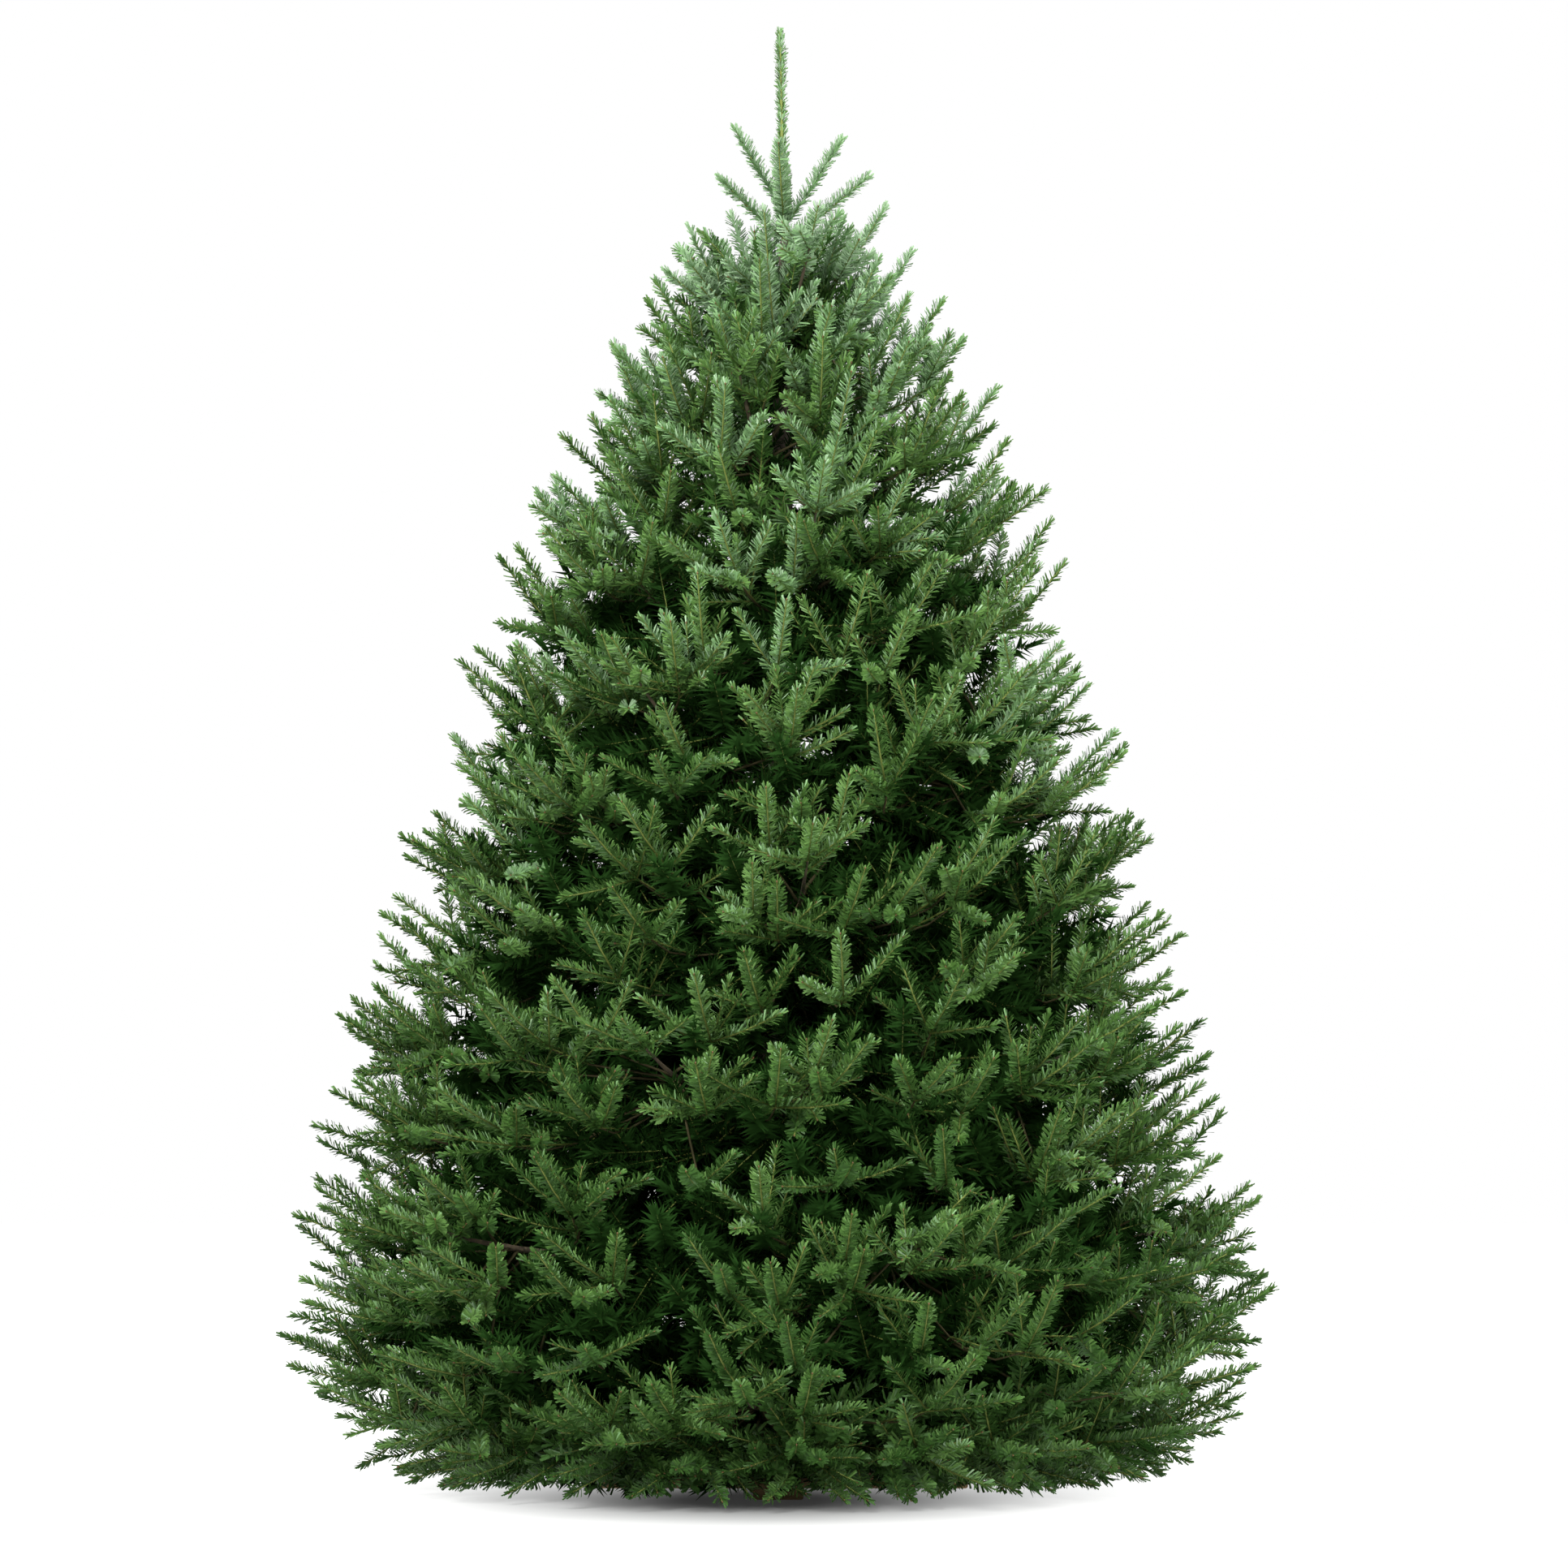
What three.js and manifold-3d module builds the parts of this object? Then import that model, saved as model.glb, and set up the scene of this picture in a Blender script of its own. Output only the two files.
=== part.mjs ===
// A cut fir, 2.1 m tall, full and dense down to the floor, in a plain crossed-board wooden stand.
// Millimetres, +Z up. The origin is on the floor under the middle of the stand; the front faces -Y.
// The crown is tiers of needle masses round the trunk. Each mass keeps to its own space: a sector
// between two sloping cones, out to the crown's rounded outline.
import * as THREE from "three";
import { mergeVertices } from "three/addons/utils/BufferGeometryUtils.js";
import Module from "manifold-3d";

const wasm = await Module();
wasm.setup();

// The whole tree
const treeHeight = 2100;
const touchGap = 0.3; // between solids that touch on the real tree
const sliver = 0.05; // faces narrower than this are joined to their neighbours
const crownSeed = 21; // starts every draw of random numbers
const floorGap = 8; // the lowest needles hang this far above the floor

// The crown's outline: widest a little above the floor, then drawn in to a rounded cone
const crown = { wideRadius: 715, wideHeight: 280, footRadius: 520, topHeight: 1900, roundness: 0.6 };
const crownEnd = 0.985; // the outline stops drawing in at this share of the way to its top

// Tiers from the floor up. A tier ends at the given height on the crown's outline, and each of its
// masses has columns by rows of sprays. The boughs of the lower four leave the trunk at rootHeight;
// above them the masses' own stems start at the trunk.
const tiers = [
  { endHeight: 250, masses: 5, firstAngle: 50, columns: 4, rows: 2, stemRise: 0.6, rootHeight: 195 },
  { endHeight: 510, masses: 5, firstAngle: 2, columns: 4, rows: 2, stemRise: 0.5, rootHeight: 300 },
  { endHeight: 770, masses: 5, firstAngle: 34, columns: 4, rows: 2, stemRise: 0.5, rootHeight: 480 },
  { endHeight: 1030, masses: 4, firstAngle: 5, columns: 4, rows: 2, stemRise: 0.5, rootHeight: 680 },
  { endHeight: 1280, masses: 4, firstAngle: 60, columns: 4, rows: 2, stemRise: 0.5 },
  { endHeight: 1510, masses: 4, firstAngle: 10, columns: 3, rows: 2, stemRise: 0.5 },
  { endHeight: 1700, masses: 3, firstAngle: 15, columns: 3, rows: 2, stemRise: 0.5 },
  { endHeight: 1850, masses: 3, firstAngle: 50, columns: 2, rows: 2, stemRise: 0.5 },
];
const tierTilt = { top: 52, power: 1.15 }; // degrees at the last tier's end; tiers lie flatter below
const spaceMargin = { flat: 2.5, perSlope: 4, trunk: 3 }; // kept to each side, more where a cone is steep
const boughInner = 0.42; // boughs hand over to their mass at this share of the crown's radius
const bough = { rootRadius: 14, tipRadius: 9, sides: 5, steps: 2, neckLength: 14, bendShare: 0.45 };

// Sprays of needles: blades with three toothed prongs, larger than life, for fans of needled shoots
const spray = { lowLength: 142, highLength: 128, heart: 0.22, sideReach: 0.85, valley: 0.3 };
const sprayBody = { thickness: 0.12, lift: 0.1 }; // shares of the length; the prongs' tips bend up
const sprayEdge = [[0.27, 0.56], [0.15, 0.5], [0.14, 0.84]]; // a prong's edge: turn in radians, reach
// Degrees between a spray's prongs, and how much of its roll it has: it folds to keep to its space
const sprayFolds = [
  { degrees: 52, rollShare: 1 },
  { degrees: 44, rollShare: 0.5 },
  { degrees: 36, rollShare: 0 },
];
const sprayTilt = { low: 14, gain: 40, power: 0.8, droop: 38, droopHeight: 140 }; // degrees
// A twig's half width, as a turn in radians round its spray's heart, how far towards the stem its foot
// lies, and the furthest turn from straight behind the spray that it comes from
const twig = { halfWidth: 0.18, footShare: 0.5, furthestTurn: 1.6 };
// How far a spray may stray from the middle of its tuft, as low and high ends of each draw
const play = {
  across: [-0.25, 0.25],
  rise: [-0.38, 0.28],
  reach: [0.965, 1.02],
  fan: [0, 0.2],
  tilt: [-0.14, 0.14],
  length: [0.92, 1.08],
  roll: [-0.7, 0.7],
};
const tufts = { across: 0.9, lowRise: 0.03, highRise: 0.97 }; // the part of a space that sprays end in

// The core of a mass: a block whose outer face is a grid of blunt tufts that carry the sprays. Across
// and rise are shares of the space; its depth below the crown's outline is a share of a spray's length.
const core = { depth: 1.25, across: 0.98, lowRise: 0.02, highRise: 0.97, stepIn: 16, tuftTip: 0.08 };
const coreDraw = { across: [0.95, 1], rise: [0.88, 1], depth: [0.95, 1] }; // how its outer face is drawn in
const coreBack = { lowRise: 0.12, highRise: 0.74, leastLength: 1.3, atTrunk: 0.2 }; // its inner face
const stem = { footRadius: 9, tipRadius: 6, sides: 4, endDepth: 1.2, leastReach: 0.5 };

// The trunk, from its flat cut on the stand up to the foot of the leader
const trunk = { cutHeight: 45 + touchGap, topHeight: 1790, buttRadius: 52, topRadius: 5.5, sides: 12 };
const trunkShape = { flare: 5, flareHeight: 60, taperPower: 0.92, rings: 16, ringPower: 1.3 };
const lean = { sway: 8, waves: 0.75, depth: 0.5 };

// The leader and the whorl of shoots at its foot. Angles in degrees; 0 points to +X, -90 to the front.
const leader = { footRadius: 5.5, tipRadius: 2.5, tipShift: 2, sides: 6, tipDrop: 15 };
const leaderBlades = { footGap: 12, footWidth: 36, tipWidth: 17, teeth: 8, thickness: 3, tipDrop: 8 };
const leaderTooth = { rootShare: 0.3, rise: 0.85 };
const shootEdge = [[0.2, 0.06], [0.36, 0.14], [0.46, 0.09], [0.78, 0.13]]; // along and across, by length
const shootBody = { ridge: 0.48, thickness: 0.2 };
const topWhorl = [
  { turn: 180, tilt: 56, length: 132, height: 1850 },
  { turn: 4, tilt: 60, length: 146, height: 1822 },
  { turn: 200, tilt: 42, length: 132, height: 1806 },
  { turn: -15, tilt: 40, length: 148, height: 1804 },
  { turn: 92, tilt: 50, length: 130, height: 1812 },
  { turn: -96, tilt: 52, length: 124, height: 1818 },
];

// The stand: two boards halved into each other, with a short brace from each arm to the trunk
const stand = { boardLength: 540, boardWidth: 70, boardHeight: 45, fitGap: 0.3 };
const brace = { width: 34, thickness: 24, footReach: 150, topHeight: 130 };

const colours = {
  bark: { color: 0x5d5147, roughness: 0.9, metalness: 0 },
  limbs: { color: 0x6b5a40, roughness: 0.85, metalness: 0 },
  needles: { color: 0x3f6136, roughness: 0.6, metalness: 0 },
  timber: { color: 0xb8925e, roughness: 0.75, metalness: 0 },
};

const vertical = new THREE.Vector3(0, 0, 1);
const radians = THREE.MathUtils.degToRad;
const mix = THREE.MathUtils.lerp;

// Repeatable random numbers: seededRandom(seed) gives a function that draws between low and high.
function seededRandom(seed) {
  let state = (seed * 7919 + 104729) >>> 0;
  const draw = () => {
    state = (Math.imul(state, 1664525) + 1013904223) >>> 0;
    return state / 2 ** 32;
  };
  draw();
  return (low, high) => low + (high - low) * draw();
}

function polar(radius, angle, height) {
  return new THREE.Vector3(radius * Math.cos(angle), radius * Math.sin(angle), height);
}

// Shapes as closed solids

function solidOf(geometry) {
  geometry.deleteAttribute("normal");
  geometry.deleteAttribute("uv");
  const merged = mergeVertices(geometry, 1e-4);
  const mesh = new wasm.Mesh({
    numProp: 3,
    vertProperties: merged.attributes.position.array,
    triVerts: new Uint32Array(merged.index.array),
  });
  return new wasm.Manifold(mesh);
}

function solidFromFaces(points, faces) {
  const positions = new Float32Array(points.flatMap((point) => point.toArray()));
  const geometry = new THREE.BufferGeometry();
  geometry.setAttribute("position", new THREE.BufferAttribute(positions, 3));
  geometry.setIndex(faces.flat());
  return solidOf(geometry);
}

// A frame at a point: x runs along the heading, y sideways, and z on the upper side.
function frameAt(point, heading, roll = 0) {
  const side = new THREE.Vector3().crossVectors(vertical, heading).normalize();
  side.applyAxisAngle(heading, roll);
  const above = new THREE.Vector3().crossVectors(heading, side);
  return new THREE.Matrix4().makeBasis(heading, side, above).setPosition(point);
}

// A limb through the points of a path, with one radius for each point and a flat face at each end.
function limbSolid(path, radii, sides) {
  const points = [];
  const faces = [];
  path.forEach((point, i) => {
    const before = path[Math.max(i - 1, 0)];
    const after = path[Math.min(i + 1, path.length - 1)];
    const heading = after.clone().sub(before).normalize();
    const reference = Math.abs(heading.z) > 0.9 ? new THREE.Vector3(0, 1, 0) : vertical;
    const side = new THREE.Vector3().crossVectors(reference, heading).normalize();
    const above = new THREE.Vector3().crossVectors(heading, side);
    for (let k = 0; k < sides; k += 1) {
      const turn = (2 * Math.PI * k) / sides;
      const offset = side.clone().multiplyScalar(Math.cos(turn) * radii[i]);
      offset.addScaledVector(above, Math.sin(turn) * radii[i]);
      points.push(point.clone().add(offset));
    }
  });
  for (let i = 0; i + 1 < path.length; i += 1) {
    for (let k = 0; k < sides; k += 1) {
      const a = i * sides + k;
      const b = i * sides + ((k + 1) % sides);
      faces.push([a, b, b + sides], [a, b + sides, a + sides]);
    }
  }
  const last = (path.length - 1) * sides;
  for (let k = 1; k + 1 < sides; k += 1) {
    faces.push([0, k + 1, k], [last, last + k, last + k + 1]);
  }
  return solidFromFaces(points, faces);
}

// Points of a spray lying along +x, and of the twig that joins it to its foot. The outline runs once
// round the spray's heart, so it closes with one point above the heart and one below.
function sprayPoints(length, spread, foot) {
  const heart = spray.heart * length;
  const footTurn = Math.atan2(foot.y, foot.x - heart);
  const neck = (side) => {
    const point = polar(heart, footTurn + side * twig.halfWidth, 0);
    return point.add(new THREE.Vector3(heart, 0, 0));
  };
  const points = [foot, neck(1)];
  const add = (turn, reach) => {
    const radius = reach * (length - heart);
    const point = polar(radius, turn, sprayBody.lift * length * reach * reach);
    points.push(point.add(new THREE.Vector3(heart, 0, 0)));
  };
  const [outer, notch, inner] = sprayEdge;
  for (const side of [-1, 0, 1]) {
    const middle = side * spread;
    const reach = side ? spray.sideReach : 1;
    if (side < 1) add(middle - outer[0], outer[1] * reach);
    if (!side) [notch, inner].forEach(([turn, share]) => add(-turn, share));
    add(middle, reach);
    if (!side) [inner, notch].forEach(([turn, share]) => add(turn, share));
    if (side > -1) add(middle + outer[0], outer[1] * reach);
    if (side < 1) add(middle + spread / 2, spray.valley);
  }
  points.push(neck(-1));
  const rise = (sprayBody.thickness * length) / 2;
  points.push(new THREE.Vector3(heart, 0, rise), new THREE.Vector3(heart, 0, -rise));
  return points;
}

// Faces from a blade's outline to its two last points, above and below its middle.
function bladeFaces(pointCount) {
  const rim = pointCount - 2;
  const faces = [];
  for (let k = 0; k < rim; k += 1) {
    const next = (k + 1) % rim;
    faces.push([k, next, rim], [next, k, rim + 1]);
  }
  return faces;
}

// The crown's outline and the spaces of its masses

function crownRadius(height) {
  if (height < crown.wideHeight) {
    const drop = (crown.wideHeight - height) / crown.wideHeight;
    return crown.wideRadius - (crown.wideRadius - crown.footRadius) * drop * drop;
  }
  const climb = (height - crown.wideHeight) / (crown.topHeight - crown.wideHeight);
  return crown.wideRadius * (1 - Math.min(climb, crownEnd)) ** crown.roundness;
}

// A cone between two tiers: its height on the trunk's axis and how steeply it rises outwards.
function coneAt(endHeight) {
  const top = tiers[tiers.length - 1].endHeight;
  const slope = Math.tan(radians(tierTilt.top * (endHeight / top) ** tierTilt.power));
  return { axisHeight: endHeight - crownRadius(endHeight) * slope, slope };
}
const coneHeight = (cone, radius) => cone.axisHeight + radius * cone.slope;

function spaceHeight(space, radius, rise) {
  return mix(coneHeight(space.low, radius), coneHeight(space.high, radius), rise);
}

// The radius at which a level of the space, from 0 at its lower cone to 1 at its upper, meets the outline.
function rimRadius(space, rise) {
  let near = 0;
  let far = crown.wideRadius * 1.2;
  for (let k = 0; k < 30; k += 1) {
    const middle = (near + far) / 2;
    if (middle < crownRadius(spaceHeight(space, middle, rise))) near = middle;
    else far = middle;
  }
  return near;
}

function isInside(space, point) {
  const radius = Math.hypot(point.x, point.y);
  const away = Math.atan2(point.y, point.x) - space.angle;
  const turn = Math.abs(Math.atan2(Math.sin(away), Math.cos(away)));
  const toSide = radius * Math.sin(space.halfAngle - turn);
  const lowMargin = spaceMargin.flat + spaceMargin.perSlope * space.low.slope;
  const highMargin = spaceMargin.flat + spaceMargin.perSlope * space.high.slope;
  return (
    radius > space.innerRadius &&
    toSide > spaceMargin.flat &&
    point.z > coneHeight(space.low, radius) + lowMargin &&
    point.z < coneHeight(space.high, radius) - highMargin
  );
}

// The trunk's middle sways a little on the way up, and its radius tapers from the flared butt.
function trunkCentre(height) {
  const share = height / trunk.topHeight;
  const sway = lean.sway * Math.sin(share * lean.waves * 2 * Math.PI) * share;
  return new THREE.Vector3(-sway, sway * lean.depth, height);
}

function trunkRadius(height) {
  const share = (height - trunk.cutHeight) / (trunk.topHeight - trunk.cutHeight);
  const taper = mix(trunk.topRadius, trunk.buttRadius, (1 - share) ** trunkShape.taperPower);
  return taper + trunkShape.flare * Math.exp(-(height - trunk.cutHeight) / trunkShape.flareHeight);
}

function trunkSolid(extra) {
  const path = [];
  const radii = [];
  for (let k = 0; k <= trunkShape.rings; k += 1) {
    const height = mix(trunk.cutHeight, trunk.topHeight, (k / trunkShape.rings) ** trunkShape.ringPower);
    path.push(trunkCentre(height));
    radii.push(trunkRadius(height) + extra);
  }
  if (extra > 0) {
    path[0].z -= extra;
    path[trunkShape.rings].z += extra;
  }
  return limbSolid(path, radii, trunk.sides);
}

// A mass: a core, a stem, twigs that branch from the stem, and a spray on each twig's end

function sprayTiltAt(height) {
  const top = tiers[tiers.length - 1].endHeight;
  const droop = sprayTilt.droop * Math.max(0, 1 - height / sprayTilt.droopHeight);
  return radians(sprayTilt.low + sprayTilt.gain * (height / top) ** sprayTilt.power - droop);
}

const sprayLengthAt = (height) => mix(spray.lowLength, spray.highLength, height / treeHeight);

// Where the spray of one tuft ends and how it points, with some play round the tuft's middle.
function sprayPlace(space, column, row) {
  const random = seededRandom(space.seed * 100 + row * 10 + column);
  const columnShare = (column + 0.5 + random(...play.across)) / space.columns;
  const across = mix(-tufts.across, tufts.across, columnShare);
  const rowShare = (row + 0.5 + random(...play.rise)) / space.rows;
  const rise = mix(tufts.lowRise, tufts.highRise, rowShare);
  const angle = space.angle + across * space.halfAngle;
  const radius = rimRadius(space, rise) * random(...play.reach);
  const tip = polar(radius, angle, spaceHeight(space, radius, rise));
  const turn = angle + across * random(...play.fan);
  const tilt = sprayTiltAt(tip.z) + random(...play.tilt);
  const heading = polar(Math.cos(tilt), turn, Math.sin(tilt));
  const length = sprayLengthAt(tip.z) * random(...play.length);
  return { root: tip.addScaledVector(heading, -length), heading, length, roll: random(...play.roll) };
}

// A twig and its spray as one body, from the stem to the needles' tips, or nothing where no fold of
// the spray keeps to the space.
function twigSolid(space, place) {
  for (const { degrees, rollShare } of sprayFolds) {
    const frame = frameAt(place.root, place.heading, place.roll * rollShare);
    const foot = place.root.clone().lerp(space.stem[1], twig.footShare);
    foot.applyMatrix4(frame.clone().invert());
    if (Math.abs(Math.atan2(foot.y, place.length * spray.heart - foot.x)) > twig.furthestTurn) continue;
    const points = sprayPoints(place.length, radians(degrees), foot);
    points.forEach((point) => point.applyMatrix4(frame));
    if (points.slice(1).every((point) => isInside(space, point))) {
      return solidFromFaces(points, bladeFaces(points.length));
    }
  }
  return null;
}

// A block that fills the middle of the space. Its outer face is a grid of tufts, each with its tip in
// the foot of a spray; plain sides run back from the grid's edge to a smaller inner face.
function coreSolid(space, places) {
  const random = seededRandom(space.seed);
  const { columns, rows } = space;
  const points = [];
  const faces = [];
  const addPoint = (across, rise, radius) => {
    const height = spaceHeight(space, radius, rise);
    points.push(polar(radius, space.angle + across * space.halfAngle, height));
    return points.length - 1;
  };
  for (let row = 0; row <= rows; row += 1) {
    for (let column = 0; column <= columns; column += 1) {
      const across = mix(-core.across, core.across, column / columns) * random(...coreDraw.across);
      const evenRise = mix(core.lowRise, core.highRise, row / rows);
      const rise = mix(0.5, evenRise, random(...coreDraw.rise));
      const least = space.coreInner * coreBack.leastLength;
      const radius = Math.max(rimRadius(space, rise) - space.coreDepth, least);
      addPoint(across, rise, radius * random(...coreDraw.depth));
    }
  }
  const corner = (column, row) => row * (columns + 1) + column;
  places.forEach(({ root, heading, length }, k) => {
    const column = k % columns;
    const row = Math.floor(k / columns);
    points.push(root.clone().addScaledVector(heading, core.tuftTip * length));
    const ring = [[0, 0], [1, 0], [1, 1], [0, 1]].map(([i, j]) => corner(column + i, row + j));
    ring.forEach((point, n) => faces.push([point, ring[(n + 1) % 4], points.length - 1]));
  });
  const flatness = space.startsAtTrunk ? 1 : Math.cos(core.across * space.halfAngle);
  const { lowRise, highRise } = coreBack;
  const back = [[-1, lowRise], [1, lowRise], [1, highRise], [-1, highRise]].map(([side, rise]) =>
    addPoint(side * core.across, rise, space.coreInner / flatness),
  );
  const steps = (count) => Array.from({ length: count + 1 }, (_, k) => k);
  const edges = [
    steps(columns).map((k) => corner(k, 0)),
    steps(rows).map((k) => corner(columns, k)),
    steps(columns).map((k) => corner(columns - k, rows)),
    steps(rows).map((k) => corner(0, rows - k)),
  ];
  edges.forEach((edge, k) => {
    const near = back[k];
    const far = back[(k + 1) % 4];
    const middle = Math.floor(edge.length / 2);
    for (let i = 0; i + 1 < edge.length; i += 1) {
      faces.push([edge[i + 1], edge[i], i < middle ? near : far]);
    }
    faces.push([edge[middle], near, far]);
  });
  faces.push([back[0], back[3], back[2]], [back[0], back[2], back[1]]);
  return solidFromFaces(points, faces);
}

// One body, without the slivers and loose scraps that are left where shapes cross.
function soundBody(solid) {
  const bodies = solid.asOriginal().simplify(sliver).decompose();
  return bodies.sort((a, b) => b.volume() - a.volume())[0];
}

function massSolid(space) {
  const places = [];
  for (let k = 0; k < space.columns * space.rows; k += 1) {
    places.push(sprayPlace(space, k % space.columns, Math.floor(k / space.columns)));
  }
  const solids = places.map((place) => twigSolid(space, place)).filter(Boolean);
  solids.push(coreSolid(space, places));
  solids.push(limbSolid(space.stem, [stem.footRadius, stem.tipRadius], stem.sides));
  const joined = wasm.Manifold.union(solids);
  const cleared = space.startsAtTrunk ? joined.subtract(trunkSolid(touchGap)) : joined;
  return soundBody(cleared);
}

// The space of mass i of a tier, with the line of its stem
function makeSpace(tier, index, i) {
  const low = index ? coneAt(tiers[index - 1].endHeight) : { axisHeight: floorGap, slope: 0 };
  const angle = radians(tier.firstAngle + (360 * i) / tier.masses);
  const space = { low, high: coneAt(tier.endHeight), angle, halfAngle: Math.PI / tier.masses };
  space.seed = crownSeed * (index + 1) + i;
  space.startsAtTrunk = tier.rootHeight === undefined;
  const rim = rimRadius(space, tier.stemRise);
  space.coreDepth = core.depth * sprayLengthAt(tier.endHeight);
  space.columns = tier.columns;
  space.rows = tier.rows;
  const startRadius = space.startsAtTrunk ? 0 : rim * boughInner;
  const endRadius = Math.max(rim - space.coreDepth * stem.endDepth, rim * stem.leastReach);
  const trunkFace = trunkRadius(coneHeight(low, 0)) + spaceMargin.trunk;
  space.innerRadius = space.startsAtTrunk ? trunkFace : startRadius;
  space.coreInner = space.startsAtTrunk ? rim * coreBack.atTrunk : startRadius + core.stepIn;
  space.stem = [startRadius, endRadius].map((radius) =>
    polar(radius, angle, spaceHeight(space, radius, tier.stemRise)),
  );
  if (space.startsAtTrunk) space.stem[0] = trunkCentre(space.stem[0].z);
  return space;
}

// A bough leaves the trunk, bends into line with its mass's stem and ends just short of it.
function boughSolid(space, rootHeight) {
  const heading = space.stem[1].clone().sub(space.stem[0]).normalize();
  const tip = space.stem[0].clone().addScaledVector(heading, -touchGap);
  const root = trunkCentre(rootHeight);
  const neck = tip.clone().addScaledVector(heading, -bough.neckLength);
  const bend = tip.clone().addScaledVector(heading, -bough.bendShare * tip.distanceTo(root));
  const path = [...new THREE.QuadraticBezierCurve3(root, bend, neck).getPoints(bough.steps), tip];
  const radii = path.map((_, k) => mix(bough.rootRadius, bough.tipRadius, k / (path.length - 1)));
  return soundBody(limbSolid(path, radii, bough.sides).subtract(trunkSolid(touchGap)));
}

// The leader: the year's top shoot, with short needles all round it, and the whorl at its foot

function leaderCentre(height) {
  const share = (height - trunk.topHeight) / (treeHeight - trunk.topHeight);
  const foot = trunkCentre(trunk.topHeight);
  return new THREE.Vector3(mix(foot.x, leader.tipShift, share), mix(foot.y, 0, share), height);
}

// Needles in one flat plane through the leader, as a long thin blade with teeth that point up.
function leaderBlade(turn, tipHeight) {
  const { teeth, thickness, footWidth, tipWidth } = leaderBlades;
  const foot = trunk.topHeight + leaderBlades.footGap;
  const step = (tipHeight - foot) / teeth;
  const edge = [];
  for (let k = 0; k < teeth; k += 1) {
    const reach = mix(footWidth, tipWidth, k / teeth) / 2;
    edge.push([reach * leaderTooth.rootShare, foot + k * step]);
    edge.push([reach, foot + (k + leaderTooth.rise) * step]);
  }
  const mirrored = edge.toReversed().map(([across, height]) => [-across, height]);
  const outline = [...edge, [0, tipHeight], ...mirrored];
  const shape = new THREE.Shape(outline.map(([across, height]) => new THREE.Vector2(across, height)));
  const blade = new THREE.ExtrudeGeometry(shape, { depth: thickness, bevelEnabled: false });
  blade.translate(0, 0, -thickness / 2);
  blade.rotateX(Math.PI / 2);
  blade.rotateZ(turn);
  const position = blade.getAttribute("position");
  for (let k = 0; k < position.count; k += 1) {
    const centre = leaderCentre(position.getZ(k));
    position.setX(k, position.getX(k) + centre.x);
    position.setY(k, position.getY(k) + centre.y);
  }
  return solidOf(blade);
}

function leaderSolid() {
  const ends = [trunk.topHeight + touchGap, treeHeight - leader.tipDrop].map(leaderCentre);
  const solids = [limbSolid(ends, [leader.footRadius, leader.tipRadius], leader.sides)];
  solids.push(leaderBlade(0, treeHeight));
  solids.push(leaderBlade(Math.PI / 2, treeHeight - leaderBlades.tipDrop));
  for (const shoot of topWhorl) {
    const tilt = radians(shoot.tilt);
    const heading = polar(Math.cos(tilt), radians(shoot.turn), Math.sin(tilt));
    const frame = frameAt(leaderCentre(shoot.height), heading);
    const points = shootPoints(shoot.length).map((point) => point.applyMatrix4(frame));
    solids.push(solidFromFaces(points, bladeFaces(points.length)));
  }
  return soundBody(wasm.Manifold.union(solids));
}

// Points of a single needled shoot lying along +x: a slim blade with two teeth a side.
function shootPoints(length) {
  const side = (sign, shares) =>
    shares.map(([along, across]) => new THREE.Vector3(along * length, sign * across * length, 0));
  const outline = [new THREE.Vector3(), ...side(-1, shootEdge), new THREE.Vector3(length, 0, 0)];
  outline.push(...side(1, shootEdge.toReversed()));
  const ridge = shootBody.ridge * length;
  const rise = (shootBody.thickness * length) / 2;
  outline.push(new THREE.Vector3(ridge, 0, rise), new THREE.Vector3(ridge, 0, -rise));
  return outline;
}

// The stand

// One board of the cross, with the halving cut from its top or from its underside.
function boardSolid(turn, cutFromTop) {
  const { boardLength, boardWidth, boardHeight, fitGap } = stand;
  const cutDepth = (boardHeight + fitGap) / 2;
  const overrun = 1; // the cut runs past the board's face
  const board = new THREE.BoxGeometry(boardLength, boardWidth, boardHeight);
  const cut = new THREE.BoxGeometry(boardWidth + 2 * fitGap, boardWidth * 2, cutDepth + overrun);
  board.translate(0, 0, boardHeight / 2);
  const cutMiddle = (cutDepth - overrun) / 2;
  cut.translate(0, 0, cutFromTop ? boardHeight - cutMiddle : cutMiddle);
  return solidOf(board.rotateZ(turn)).subtract(solidOf(cut.rotateZ(turn)));
}

// A brace leans from an arm of the cross to the trunk: a mitred block, seen from its side.
function braceSolid(turn) {
  const base = stand.boardHeight + touchGap;
  const slope = (brace.topHeight - base) / (brace.footReach - trunk.buttRadius);
  const run = brace.thickness * Math.sqrt(1 + 1 / slope ** 2);
  const shape = new THREE.Shape();
  shape.moveTo(brace.footReach, base);
  shape.lineTo(brace.footReach - run, base);
  shape.lineTo(0, base + (brace.footReach - run) * slope);
  shape.lineTo(0, base + brace.footReach * slope);
  const block = new THREE.ExtrudeGeometry(shape, { depth: brace.width, bevelEnabled: false });
  block.translate(0, 0, -brace.width / 2);
  block.rotateX(Math.PI / 2);
  block.rotateZ(turn);
  return soundBody(solidOf(block).subtract(trunkSolid(touchGap)));
}

// Assembly

const tree = new THREE.Group();
const materials = Object.fromEntries(
  Object.entries(colours).map(([name, look]) => [name, new THREE.MeshStandardMaterial(look)]),
);

function addMesh(name, solid, material) {
  const { vertProperties, triVerts } = solid.getMesh();
  const geometry = new THREE.BufferGeometry();
  geometry.setAttribute("position", new THREE.BufferAttribute(vertProperties, 3));
  geometry.setIndex(new THREE.BufferAttribute(triVerts, 1));
  geometry.computeVertexNormals();
  const mesh = new THREE.Mesh(geometry, material);
  mesh.name = name;
  tree.add(mesh);
}

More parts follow.
